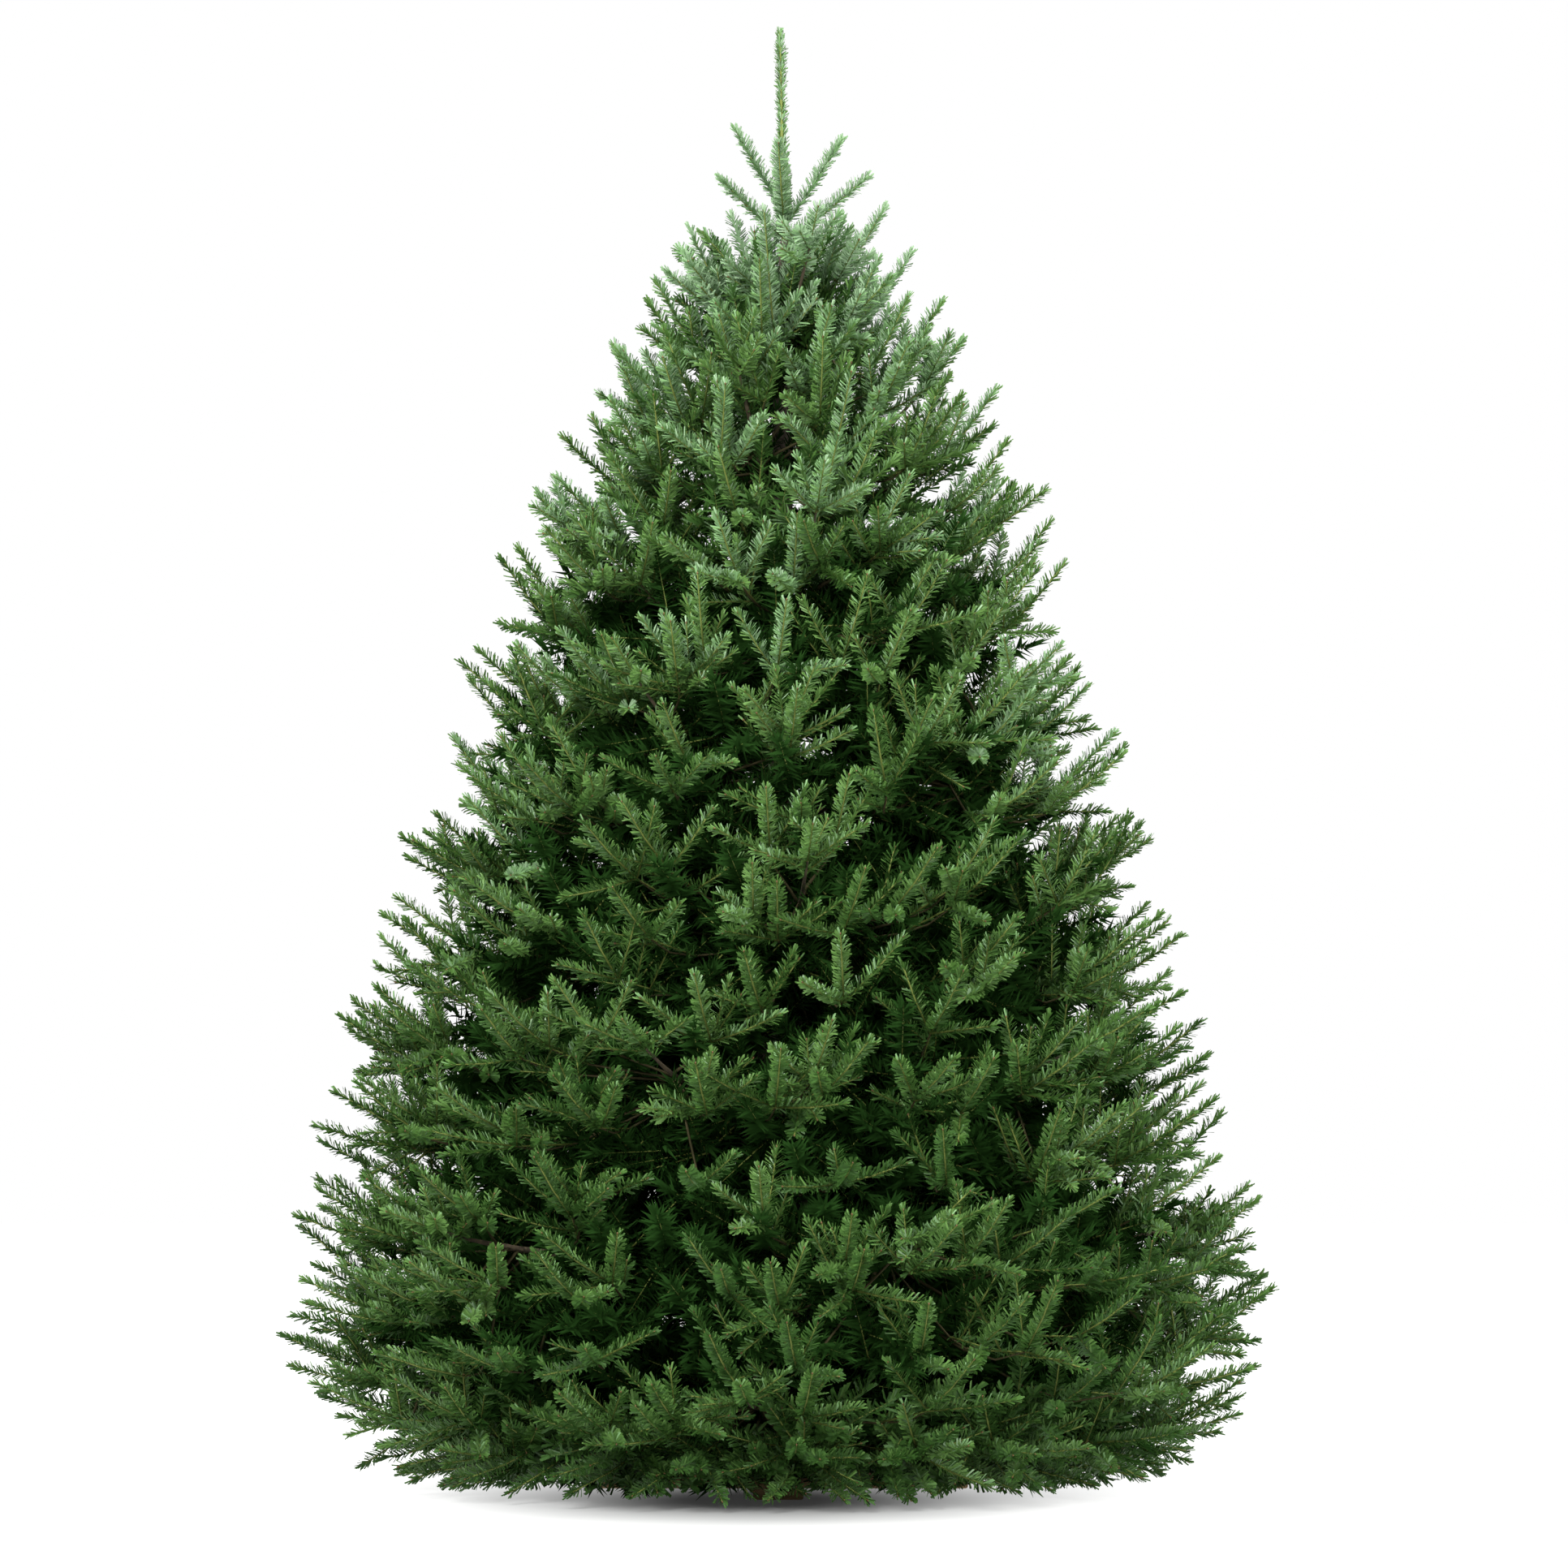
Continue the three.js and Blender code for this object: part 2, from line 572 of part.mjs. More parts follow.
addMesh("trunk", trunkSolid(0), materials.bark);
tiers.forEach((tier, index) => {
  for (let i = 0; i < tier.masses; i += 1) {
    const space = makeSpace(tier, index, i);
    const place = `${index + 1}_${i + 1}`;
    addMesh(`needles_${place}`, massSolid(space), materials.needles);
    if (tier.rootHeight) addMesh(`bough_${place}`, boughSolid(space, tier.rootHeight), materials.limbs);
  }
});
addMesh("leader", leaderSolid(), materials.needles);
addMesh("stand_board_lower", boardSolid(0, true), materials.timber);
addMesh("stand_board_upper", boardSolid(Math.PI / 2, false), materials.timber);
for (let arm = 0; arm < 4; arm += 1) {
  addMesh(`stand_brace_${arm + 1}`, braceSolid((arm * Math.PI) / 2), materials.timber);
}

export default tree;
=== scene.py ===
import math
import bpy
import numpy as np
from mathutils import Matrix, Vector


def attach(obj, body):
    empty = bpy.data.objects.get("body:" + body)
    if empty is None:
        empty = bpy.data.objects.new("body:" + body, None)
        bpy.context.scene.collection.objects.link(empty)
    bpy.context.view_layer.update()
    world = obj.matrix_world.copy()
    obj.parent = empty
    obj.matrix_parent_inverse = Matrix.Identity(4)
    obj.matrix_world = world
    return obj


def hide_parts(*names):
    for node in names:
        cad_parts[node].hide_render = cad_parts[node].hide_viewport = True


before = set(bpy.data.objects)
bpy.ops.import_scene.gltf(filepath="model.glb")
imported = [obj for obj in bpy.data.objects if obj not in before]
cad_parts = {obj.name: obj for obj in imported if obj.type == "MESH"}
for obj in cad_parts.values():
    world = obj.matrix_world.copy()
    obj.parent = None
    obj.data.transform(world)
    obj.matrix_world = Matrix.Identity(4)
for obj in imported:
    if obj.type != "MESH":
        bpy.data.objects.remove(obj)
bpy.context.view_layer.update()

print("frame loaded:", len(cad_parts), "nodes")

# The tree's rule, in metres, as its solids have it

tree = {"height": 2.1, "seed": 21, "floorGap": 0.008}

crown = {
    "wideRadius": 0.715,
    "wideHeight": 0.28,
    "footRadius": 0.52,
    "topHeight": 1.9,
    "roundness": 0.6,
    "end": 0.985,
}

# a tier ends at this height on the outline; its masses carry columns of sprays in two rows
# root is where its boughs leave the trunk, and closer draws its shaded sprays together
tiers = [
    {"end": 0.25, "masses": 5, "firstAngle": 50, "columns": 4, "root": 0.195, "closer": 0.7},
    {"end": 0.51, "masses": 5, "firstAngle": 2, "columns": 4, "root": 0.3, "closer": 0.85},
    {"end": 0.77, "masses": 5, "firstAngle": 34, "columns": 4, "root": 0.48, "closer": 0.92},
    {"end": 1.03, "masses": 4, "firstAngle": 5, "columns": 4, "root": 0.68, "closer": 0.92},
    {"end": 1.28, "masses": 4, "firstAngle": 60, "columns": 4},
    {"end": 1.51, "masses": 4, "firstAngle": 10, "columns": 3},
    {"end": 1.7, "masses": 3, "firstAngle": 15, "columns": 3},
    {"end": 1.85, "masses": 3, "firstAngle": 50, "columns": 2},
]
rows = 2
shadedTiers = 6
tierTop = tiers[-1]["end"]
tierTilt = {"top": 52, "power": 1.15}

spray = {
    "lowLength": 0.142,
    "highLength": 0.128,
    "lowTilt": 14,  # degrees above level
    "tiltGain": 40,
    "tiltPower": 0.8,
    "droop": 38,
    "droopHeight": 0.14,
}

# a mass's stem, as shares of the radius at its rim
stem = {
    "lowestRise": 0.6,
    "rise": 0.5,
    "start": 0.42,
    "end": 0.86,
    "least": 0.5,
    "coreDepth": 1.25,  # in spray lengths
    "coreClear": 1.2,
}

# the sprays' grid keeps this far from a mass's sides
grid = {"firstSide": 0.9, "side": 1.0, "lowest": 0.03, "highest": 0.97}

# how far a spray may stray from its place in the grid
play = {
    "across": (-0.25, 0.25),
    "rise": (-0.38, 0.28),
    "reach": (0.965, 1.02),
    "fan": (0, 0.2),
    "tilt": (-0.14, 0.14),
    "length": (0.92, 1.08),
    "roll": (-0.7, 0.7),
}

# a shoot's needles against those of a new shoot in the light: their number, length and width
face = {"needles": 1, "size": 1, "width": 1}
shadeLook = {"needles": 0.48, "size": 2.1, "width": 3.4, "lean": 1.2}
deepLook = {"needles": 0.46, "size": 2.4, "width": 3.8, "lean": 1.2}
topLook = {"needles": 0.6, "size": 1.1, "width": 1.3, "lean": 0.95}
nearFloor = {"needles": 0.36, "size": 1.3, "width": 1.8, "lean": 1.0}
nearFloorHeight = 0.13

# the grid of sprays, and the same again: between the first ones, then twice behind them
front = {"rowShift": 0.0, "shift": 0, "reach": 1.0, **face}
between = {"spacing": 0.19, "rowShift": -0.5, "shift": 50000, "reach": 1.0, **face}
layers = [
    between,
    {"spacing": 0.135, "rowShift": -0.1, "shift": 90000, "reach": 0.84, **shadeLook,
     "low": nearFloor},
    {"spacing": 0.215, "rowShift": -0.4, "shift": 70000, "reach": 0.62, **deepLook},
]
topLayers = [
    between,
    {"spacing": 0.16, "rowShift": -0.1, "shift": 90000, "reach": 0.84, **topLook},
    {"spacing": 0.16, "rowShift": -0.1, "shift": 70000, "reach": 0.55, **topLook},
]
topReach = 1.05  # behind the first sprays they reach further out towards the top
# more shade where the lower tiers meet, and sprays that trail on the floor
seams = [
    {"count": 4, "rowShift": 0.42, "shift": 40000, "reach": 0.72, **shadeLook},
    {"count": 3, "rowShift": 0.3, "shift": 45000, "reach": 0.42, **deepLook},
]
hem = {"count": 12, "rowShift": -0.46, "shift": 30000, "reach": 0.96, **face, "needles": 0.9}
limbEnd = {"seed": 400, "length": 0.125, "roll": (-0.4, 0.4)}


def seededRandom(seed):
    # the solids' own generator, for the same places
    state = [(seed * 7919 + 104729) % 4294967296]

    def draw(low=0.0, high=1.0):
        state[0] = (state[0] * 1664525 + 1013904223) % 4294967296
        return low + (high - low) * state[0] / 4294967296

    draw()
    return draw


def mix(a, b, share):
    return a + (b - a) * share


def polar(radius, angle, height):
    return Vector((radius * math.cos(angle), radius * math.sin(angle), height))


def headingAt(turn, tilt):
    return polar(math.cos(tilt), turn, math.sin(tilt))


def crownRadius(height):
    if height < crown["wideHeight"]:
        drop = (crown["wideHeight"] - height) / crown["wideHeight"]
        return crown["wideRadius"] - (crown["wideRadius"] - crown["footRadius"]) * drop * drop
    climb = (height - crown["wideHeight"]) / (crown["topHeight"] - crown["wideHeight"])
    return crown["wideRadius"] * (1 - min(climb, crown["end"])) ** crown["roundness"]


def coneAt(end):
    slope = math.tan(math.radians(tierTilt["top"] * (end / tierTop) ** tierTilt["power"]))
    return {"axis": end - crownRadius(end) * slope, "slope": slope}


def spaceHeight(space, radius, rise):
    low = space["low"]["axis"] + radius * space["low"]["slope"]
    high = space["high"]["axis"] + radius * space["high"]["slope"]
    return mix(low, high, rise)


def rimRadius(space, rise):
    # halves its way to where the space meets the outline
    near, far = 0.0, crown["wideRadius"] * 1.2
    for k in range(30):
        middle = (near + far) / 2
        if middle < crownRadius(spaceHeight(space, middle, rise)):
            near = middle
        else:
            far = middle
    return near


def sprayTiltAt(height):
    droop = spray["droop"] * max(0, 1 - height / spray["droopHeight"])
    gain = spray["tiltGain"] * (max(height, 0) / tierTop) ** spray["tiltPower"]
    return math.radians(spray["lowTilt"] + gain - droop)


def sprayLengthAt(height):
    return mix(spray["lowLength"], spray["highLength"], height / tree["height"])


def sprayPlace(space, columns, rows, column, row, layer):
    random = seededRandom(space["seed"] * 100 + row * 10 + column + layer["shift"])
    side = grid["side"] if layer["shift"] else grid["firstSide"]
    across = mix(-side, side, (column + 0.5 + random(*play["across"])) / columns)
    step = (row + 0.5 + layer["rowShift"] + random(*play["rise"])) / rows
    rise = mix(grid["lowest"], grid["highest"], step)
    rise = max(rise, grid["lowest"]) if space["onFloor"] else rise
    angle = space["angle"] + across * space["halfAngle"]
    radius = rimRadius(space, rise) * random(*play["reach"]) * layer["reach"]
    tip = polar(radius, angle, spaceHeight(space, radius, rise))
    turn = angle + across * random(*play["fan"])
    tilt = sprayTiltAt(tip.z) + random(*play["tilt"])
    heading = headingAt(turn, tilt)
    length = sprayLengthAt(tip.z) * random(*play["length"])
    roll = random(*play["roll"])
    root = tip - heading * length
    return {"root": root, "heading": heading, "length": length, "roll": roll, "random": random}


# The trunk's middle and radius

trunk = {
    "cut": 0.0453,
    "top": 1.79,
    "buttRadius": 0.052,
    "topRadius": 0.0055,
    "flare": 0.005,
    "flareHeight": 0.06,
    "taperPower": 0.92,
    "sway": 0.008,
    "waves": 0.75,
    "swayDepth": 0.5,
    "rings": 90,
    "sides": 40,
}


def trunkCentre(height):
    share = height / trunk["top"]
    sway = trunk["sway"] * math.sin(share * trunk["waves"] * 2 * math.pi) * share
    return Vector((-sway, sway * trunk["swayDepth"], height))


def trunkRadius(height):
    share = (height - trunk["cut"]) / (trunk["top"] - trunk["cut"])
    taper = mix(trunk["topRadius"], trunk["buttRadius"], max(1 - share, 0) ** trunk["taperPower"])
    return taper + trunk["flare"] * math.exp(-(height - trunk["cut"]) / trunk["flareHeight"])


# The spaces that the masses keep to

def makeSpace(tier, index, i):
    space = {
        "low": coneAt(tiers[index - 1]["end"]) if index else {"axis": tree["floorGap"], "slope": 0},
        "high": coneAt(tier["end"]),
        "onFloor": index == 0,
        "angle": math.radians(tier["firstAngle"] + 360 * i / tier["masses"]),
        "halfAngle": math.pi / tier["masses"],
        "seed": tree["seed"] * (index + 1) + i,
        "columns": tier["columns"],
        "root": tier.get("root"),
        "shaded": index < shadedTiers,
        "closer": tier.get("closer", 1),
        "name": "%d_%d" % (index + 1, i + 1),
    }
    rise = stem["rise"] if index else stem["lowestRise"]
    rim = rimRadius(space, rise)
    coreDepth = stem["coreDepth"] * sprayLengthAt(tier["end"])
    start = rim * stem["start"] if space["root"] else 0
    middle = max(rim - coreDepth * stem["coreClear"], rim * stem["least"])
    ends = (start, middle, rim * stem["end"])
    space["stem"] = [polar(r, space["angle"], spaceHeight(space, r, rise)) for r in ends]
    if not space["root"]:
        space["stem"][0] = trunkCentre(space["stem"][0].z)
    space["arc"] = 2 * space["halfAngle"] * rim
    return space


spaces = []
for index, tier in enumerate(tiers):
    spaces += [makeSpace(tier, index, i) for i in range(tier["masses"])]
print("masses:", len(spaces))

# Materials

def newMaterial(name):
    material = bpy.data.materials.new(name)
    material.use_nodes = True
    return material, material.node_tree.nodes["Principled BSDF"]


def plainMaterial(name, colour, roughness, specular):
    material, shader = newMaterial(name)
    shader.inputs["Base Color"].default_value = (*colour, 1)
    shader.inputs["Roughness"].default_value = roughness
    shader.inputs["Specular IOR Level"].default_value = specular
    return material


def fromScreen(red, green, blue):
    def linear(value):
        value /= 255
        return value / 12.92 if value <= 0.04045 else ((value + 0.055) / 1.055) ** 2.4

    return linear(red), linear(green), linear(blue)


# the two palest tints are partly the needles' own silvery tone and partly painted highlight; the
# two darkest are mostly painted shade, for needles underneath, low down and inside the crown
tints = {
    "FrostAndHighlight": fromScreen(137, 165, 128),
    "Silver": fromScreen(110, 146, 96),
    "Light": fromScreen(87, 121, 60),
    "Mid": fromScreen(67, 101, 43),
    "Deep": fromScreen(51, 84, 33),
    "Shade": fromScreen(31, 57, 22),
}
frostAndHighlightTint, silverTint, deepTint, shadeTint = 0, 1, 4, 5  # places in that list

# where on the tree a tint is used: lighter towards the top and over the crest, partly the tree's
# own tone and partly painted light; darker low down, between the first sprays and inside, mostly
# painted shade
tintRule = {
    "shadeFrom": 0.13,
    "shadeTo": 1.3,
    "deepShadeTo": 1.5,
    "stray": (-0.3, 0.3),
    # painted light on the first sprays, painted shade on those between them
    "front": 0.08,
    "between": -0.12,
    "crestFrom": 1.5,
    "crestDepth": 0.2,
    "crestGain": 0.34,
    "least": (1.1, 0.72, 0.36, 0.0),  # for each of the first four tints
}

# Shoots are gathered here first and made into meshes further down

shoots = []
twigs = []
limbs = []
budPlaces = []

shootLook = {
    "needleLength": 0.0158,
    "perMetre": 1260,
    "fewest": 12,
    "needleLean": 1.0,  # radians away from the stem
    "stemRadius": 0.0016,
    "stemTaper": 0.7,
    "straightBelow": 0.1,  # a shorter shoot's stem has no bend
    "rise": 0.05,  # a shoot bends up by this share of its length
    "shortest": 0.035,
    "trim": 0.72,  # what reaches too far is shortened by this
    "shadedWidth": 2,
}
outline = {
    "furthest": 0.708,
    "overReach": 1.02,
    "proud": 0.02,
    "leftProud": 0.01,
    "rightProud": 0.045,
    "lowest": 0.014,
    "clear": 0.004,
    "steepest": 0.9,
    "overlap": 0.06,  # into the next mass's space
    "shade": 0.9,  # shaded shoots stay within this share of the outline
}


def isShaded(look):
    return look["width"] > shootLook["shadedWidth"]


def isInReach(space, point, shaded):
    radius = math.hypot(point.x, point.y)
    if point.z < outline["lowest"] or radius > outline["furthest"]:
        return False
    if shaded and radius > crownRadius(point.z) * outline["shade"]:
        return False
    topProud = outline["rightProud"] if point.x > 0 else outline["leftProud"]
    proud = mix(outline["proud"], topProud, point.z / tree["height"])
    if radius > crownRadius(point.z) * outline["overReach"] + proud:
        return False
    away = math.atan2(point.y, point.x) - space["angle"]
    turn = abs(math.atan2(math.sin(away), math.cos(away)))
    low, high = spaceHeight(space, radius, 0), spaceHeight(space, radius, 1)
    return (
        radius * math.sin(space["halfAngle"] - turn) > -outline["overlap"]
        and low - outline["overlap"] < point.z < high + outline["overlap"]
    )


def frameAt(heading, roll=0.0):
    side = Vector((0, 0, 1)).cross(heading)
    side = side.normalized() if side.length > 1e-4 else Vector((0, 1, 0))
    side = Matrix.Rotation(roll, 3, heading) @ side
    return side, heading.cross(side)


def keepShoot(path, upper, length, tint, count, look, bud, hasStem=True):
    shoots.append({
        "path": path,
        "upper": upper,
        "length": length,
        "tint": tint,
        "needles": count,
        "needle": shootLook["needleLength"] * look["size"],
        "width": look["width"],
        "lean": look.get("lean", shootLook["needleLean"]),
        "jitter": look.get("jitter", 1),
        "bud": bud,
        "hasStem": hasStem,
    })


def addShoot(space, root, heading, length, tint, look):
    # near the floor a shoot lies along it
    least = (outline["lowest"] + outline["clear"] - root.z) / length
    if heading.z < least < outline["steepest"]:
        heading = Vector((heading.x, heading.y, least)).normalized()
    upper = frameAt(heading)[1]
    for attempt in range(3):
        tip = root + heading * length + upper * shootLook["rise"] * length
        if space is None or isInReach(space, tip, isShaded(look)):
            break
        length *= shootLook["trim"]
    else:
        return
    if length < shootLook["shortest"]:
        return
    path = (root, root + heading * length * 0.5, tip)
    count = max(shootLook["fewest"], int(length * shootLook["perMetre"] * look["needles"]))
    keepShoot(path, upper, length, tint, count, look, look["width"] == 1)


def pickTint(height, level, random):
    # lighter and more silver towards the top, darker below and inside: partly the tree's own tone,
    # partly painted light and shade; the inner sprays take painted shade
    if level > 1:
        shaded = tintRule["shadeFrom"] < height < tintRule["shadeTo"]
        return shadeTint if shaded or level == 3 and height < tintRule["deepShadeTo"] else deepTint
    crest = min(max((height - tintRule["crestFrom"]) / tintRule["crestDepth"], 0), 1)
    share = height / tree["height"] + random(*tintRule["stray"])
    share = share + tintRule["between" if level else "front"] + crest * tintRule["crestGain"]
    for tint, least in enumerate(tintRule["least"]):
        if share > least:
            return tint
    return deepTint


def bezier(a, b, c, d, count):
    points = []
    for k in range(count + 1):
        t = k / count
        u = 1 - t
        points.append(a * u ** 3 + b * 3 * u * u * t + c * 3 * u * t * t + d * t ** 3)
    return points


twigRule = {
    "angle": (0.55, 1.15),  # radians that it likes to make with the limb
    "steps": 4,  # places tried on each piece of the limb
    "nearest": 0.01,
    "shortness": 0.8,
    "leave": 0.2,
    "arrive": 0.35,
    "radii": (0.0028, 0.0015),
}


def growTwig(limb, place):
    # leaves the limb at a likely angle, and ends in line with the spray
    root, heading, steps = place["root"], place["heading"], twigRule["steps"]
    best, foot, along = math.inf, None, None
    wanted = place["random"](*twigRule["angle"])
    for k in range(len(limb) * steps // 3, len(limb) * steps - steps - 1):
        start, way = limb[k // steps], limb[k // steps + 1] - limb[k // steps]
        spot = start + way * (k % steps) / steps
        if (root - spot).length < twigRule["nearest"]:
            continue
        off = abs(way.angle(root - spot) - wanted)
        score = off + (root - spot).length * twigRule["shortness"]
        if score < best:
            best, foot, along = score, spot, way.normalized()
    gap = (root - foot).length
    leave = foot + (along + (root - foot).normalized()) * gap * twigRule["leave"]
    path = bezier(foot, leave, root - heading * gap * twigRule["arrive"], root, 6)
    twigs.append({"path": path, "radii": twigRule["radii"]})
    return path


# this year's shoots
fan = {
    "stray": (-0.4, 0.4),  # of the whole fan, behind the first sprays
    "strayUp": (-0.3, 0.3),
    "rollGain": 1.5,
    "highFrom": 1.25,
    "highDepth": 0.35,
    "highDensity": 1.45,
    "shadeSpread": 0.4,
    "shadeLength": 1.5,
    "spread": (0.62, 1.15),
    "highSpread": 0.85,
    "sideRise": (-0.25, 0.3),
    "sideLength": (0.58, 0.92),
    "upperChance": 0.55,
    "upperAhead": 0.75,
    "upperRise": (0.45, 0.8),
    "upperSide": (-0.5, 0.5),
    "upperLength": (0.4, 0.7),
}

# last year's growth behind them
older = {
    "length": 0.12,
    "density": 0.6,
    "stemDensity": 0.36,
    "joints": ((0.05, 0.4), (0.5, 0.75)),
    "skip": (0.6, 0.8),  # of the side shoots, low and high on the tree
    "shadeSkip": 0.4,
    "spread": (0.65, 1.2),
    "sideRise": (-0.3, 0.35),
    "sideLength": (0.48, 0.8),
}


def growSpray(space, path, place, level, look):
    random = place["random"]
    root, heading, length = place["root"], place["heading"], place["length"]
    if level:
        stray = Vector((random(*fan["stray"]), random(*fan["stray"]), random(*fan["strayUp"])))
        heading = (heading + stray).normalized()
    side, above = frameAt(heading, place["roll"] * fan["rollGain"])
    tint = pickTint(root.z, level, random)
    # towards the top the shoots are fewer, denser and more alike
    high = min(max((root.z - fan["highFrom"]) / fan["highDepth"], 0), 1) if level < 2 else 0
    look = {**look, "needles": look["needles"] * mix(1, fan["highDensity"], high)}

    def sideways(hand, rule, least, most):
        spread = random(least, most) + wide
        out = heading * math.cos(spread) + side * hand * math.sin(spread)
        return (out + above * random(*rule["sideRise"])).normalized()

    # one shoot ahead, one to each side, and often a small one above
    addShoot(space, root, heading, length, tint, look)
    inShade = level > 1 and isShaded(look)
    wide, long = (fan["shadeSpread"], fan["shadeLength"]) if inShade else (0, 1)
    least, most = fan["spread"]
    for hand in (-1, 1):
        way = sideways(hand, fan, least, mix(most, fan["highSpread"], high))
        addShoot(space, root, way, length * random(*fan["sideLength"]) * long, tint, look)
    if level < 2 and random() < fan["upperChance"]:
        way = heading * fan["upperAhead"] + above * random(*fan["upperRise"])
        way = (way + side * random(*fan["upperSide"])).normalized()
        addShoot(space, root, way, length * random(*fan["upperLength"]), tint, look)
    budPlaces.append((root, heading))

    # the stem behind it, with a pair or two of side shoots
    back = path[-1] - path[-3]
    reach = min(back.length, older["length"])
    start = path[-1] - back.normalized() * reach
    olderTint = tint if level > 1 else min(tint + 1 + level, deepTint)
    olderLook = {**look, "needles": look["needles"] * (older["density"] if level < 2 else 1)}
    upper = frameAt(back.normalized())[1]
    count = int(reach * shootLook["perMetre"] * older["stemDensity"] * look["needles"])
    keepShoot((start, (start + root) / 2, root), upper, reach, olderTint, count, look, False)
    for share in [random(*span) for span in older["joints"]]:
        joint = start.lerp(root, share)
        for hand in (-1, 1):
            if random() < (mix(*older["skip"], high) if level < 2 else older["shadeSkip"]):
                continue
            way = sideways(hand, older, *older["spread"])
            size = length * random(*older["sideLength"]) * long
            addShoot(space, joint, way, size, olderTint if share < 0.5 else tint, olderLook)


limbRule = {
    "neck": 0.0143,  # from the stem's start back to the bough's tip
    "bend": 0.45,
    "boughRadii": (0.0135, 0.0085, 0.0042, 0.0016),
    "footRadius": 0.0088,
    "mostOfTrunk": 0.6,
    "taper": (0.6, 0.4),
    "tipRadius": 0.0014,
    "handles": (0.33, 0.66),
    "lift": 0.06,
    "earlyLift": 0.3,
}


def growLimb(space):
    start, middle, end = space["stem"]
    if space["root"]:
        way = (middle - start).normalized()
        root = trunkCentre(space["root"])
        neck = start - way * limbRule["neck"]
        bend = start - way * limbRule["bend"] * (start - root).length
        path = bezier(root, root.lerp(bend, 2 / 3), neck.lerp(bend, 2 / 3), neck, 8)[:-1]
        path += [start.lerp(middle, k / 6) for k in range(6)]
        radii = limbRule["boughRadii"]
    else:
        path = [start.lerp(middle, k / 8) for k in range(8)]
        foot = min(limbRule["footRadius"], trunkRadius(start.z) * limbRule["mostOfTrunk"])
        radii = (foot, *(foot * share for share in limbRule["taper"]), limbRule["tipRadius"])
    near, far = (middle.lerp(end, share) for share in limbRule["handles"])
    lift = Vector((0, 0, (end - middle).length * limbRule["lift"]))
    path += bezier(middle, near, far + lift * limbRule["earlyLift"], end + lift, 6)
    limbs.append({"path": path, "radii": radii, "name": space["name"], "root": space["root"]})
    return path


def growLayer(space, limb, columns, rows, level, layer):
    for row in range(rows):
        for column in range(columns):
            place = sprayPlace(space, columns, rows, column, row, layer)
            low = "low" in layer and place["root"].z < nearFloorHeight
            growSpray(space, growTwig(limb, place), place, level, layer["low"] if low else layer)


def growMass(space):
    limb = growLimb(space)
    growLayer(space, limb, space["columns"], rows, 0, front)
    for level, layer in enumerate(layers if space["shaded"] else topLayers, 1):
        closer = space["closer"] if level > 1 else 1
        columns = max(2, round(space["arc"] / layer["spacing"] / closer))
        reach = layer["reach"] * mix(1, topReach, limb[-1].z / tree["height"])
        growLayer(space, limb, columns, rows, level, {**layer, "reach": reach})
    if space["closer"] < 1:
        for level, seam in enumerate(seams, 2):
            growLayer(space, limb, seam["count"], 1, level, seam)
    if space["onFloor"]:
        growLayer(space, limb, hem["count"], 1, 1, hem)
    # the limb ends in a spray of its own
    random = seededRandom(space["seed"] + limbEnd["seed"])
    place = {
        "root": limb[-1],
        "heading": (limb[-1] - limb[-2]).normalized(),
        "length": limbEnd["length"],
        "roll": random(*limbEnd["roll"]),
        "random": random,
    }
    growSpray(space, limb[-4:], place, 0, face)


for space in spaces:
    growMass(space)

# the crown is a little fuller up on its right
fullerSide = [
    {"turn": -8, "height": 1.83, "out": 0.05, "length": 0.125},
    {"turn": 6, "height": 1.77, "out": 0.04, "length": 0.13},
    {"turn": -14, "height": 1.69, "out": 0.035, "length": 0.125},
    {"turn": 9, "height": 1.575, "out": 0.05, "length": 0.13},
    {"turn": -6, "height": 1.49, "out": 0.02, "length": 0.13},
    {"turn": 4, "height": 1.38, "out": 0.035, "length": 0.13},
    {"turn": -12, "height": 1.31, "out": 0.03, "length": 0.13},
    {"turn": 3, "height": 0.95, "out": -0.03, "length": 0.13},
]
extraRule = {
    "seed": 900,
    "roll": (-0.5, 0.5),
    "fall": 0.4,
    "leave": 0.4,
    "arrive": 0.06,
    "radii": (0.0035, 0.0015),
}
for number, extra in enumerate(fullerSide):
    angle, length = math.radians(extra["turn"]), extra["length"]
    tip = polar(crownRadius(extra["height"]) + extra["out"], angle, extra["height"])
    heading = headingAt(angle, sprayTiltAt(tip.z))
    root = tip - heading * length
    random = seededRandom(tree["seed"] + extraRule["seed"] + number)
    roll = random(*extraRule["roll"])
    place = {"root": root, "heading": heading, "length": length, "roll": roll, "random": random}
    foot = trunkCentre(root.z - extraRule["fall"] * math.hypot(root.x, root.y))
    leave = foot.lerp(root, extraRule["leave"])
    path = bezier(foot, leave, root - heading * extraRule["arrive"], root, 6)
    twigs.append({"path": path, "radii": extraRule["radii"]})
    growSpray(None, path, place, 0, face)

print("sprays:", len(twigs), "shoots:", len(shoots))

# The leader and the whorl of shoots at its foot

leader = {
    "tipShift": 0.002,
    "tip": 2.093,
    "split": 1.95,  # the needles are shorter above this
    "sizes": (0.95, 0.75),
    "footRadius": 0.0042,
    "tipRadius": 0.0014,
    "sunk": 0.01,
    "density": 1.25,
}
leaderLook = {"width": 0.9, "lean": 0.7, "jitter": 2.6}
whorlLook = {**face, "needles": 1.9, "jitter": 1.4}
topWhorl = [
    {"turn": 180, "tilt": 56, "length": 0.132, "height": 1.837},
    {"turn": 4, "tilt": 54, "length": 0.15, "height": 1.81},
    {"turn": 200, "tilt": 37, "length": 0.126, "height": 1.794},
    {"turn": -15, "tilt": 33, "length": 0.152, "height": 1.788},
    {"turn": 92, "tilt": 50, "length": 0.13, "height": 1.812},
    {"turn": -96, "tilt": 52, "length": 0.124, "height": 1.818},
]


def leaderCentre(height):
    foot = trunkCentre(trunk["top"])
    share = (height - trunk["top"]) / (tree["height"] - trunk["top"])
    return Vector((mix(foot.x, leader["tipShift"], share), mix(foot.y, 0, share), height))


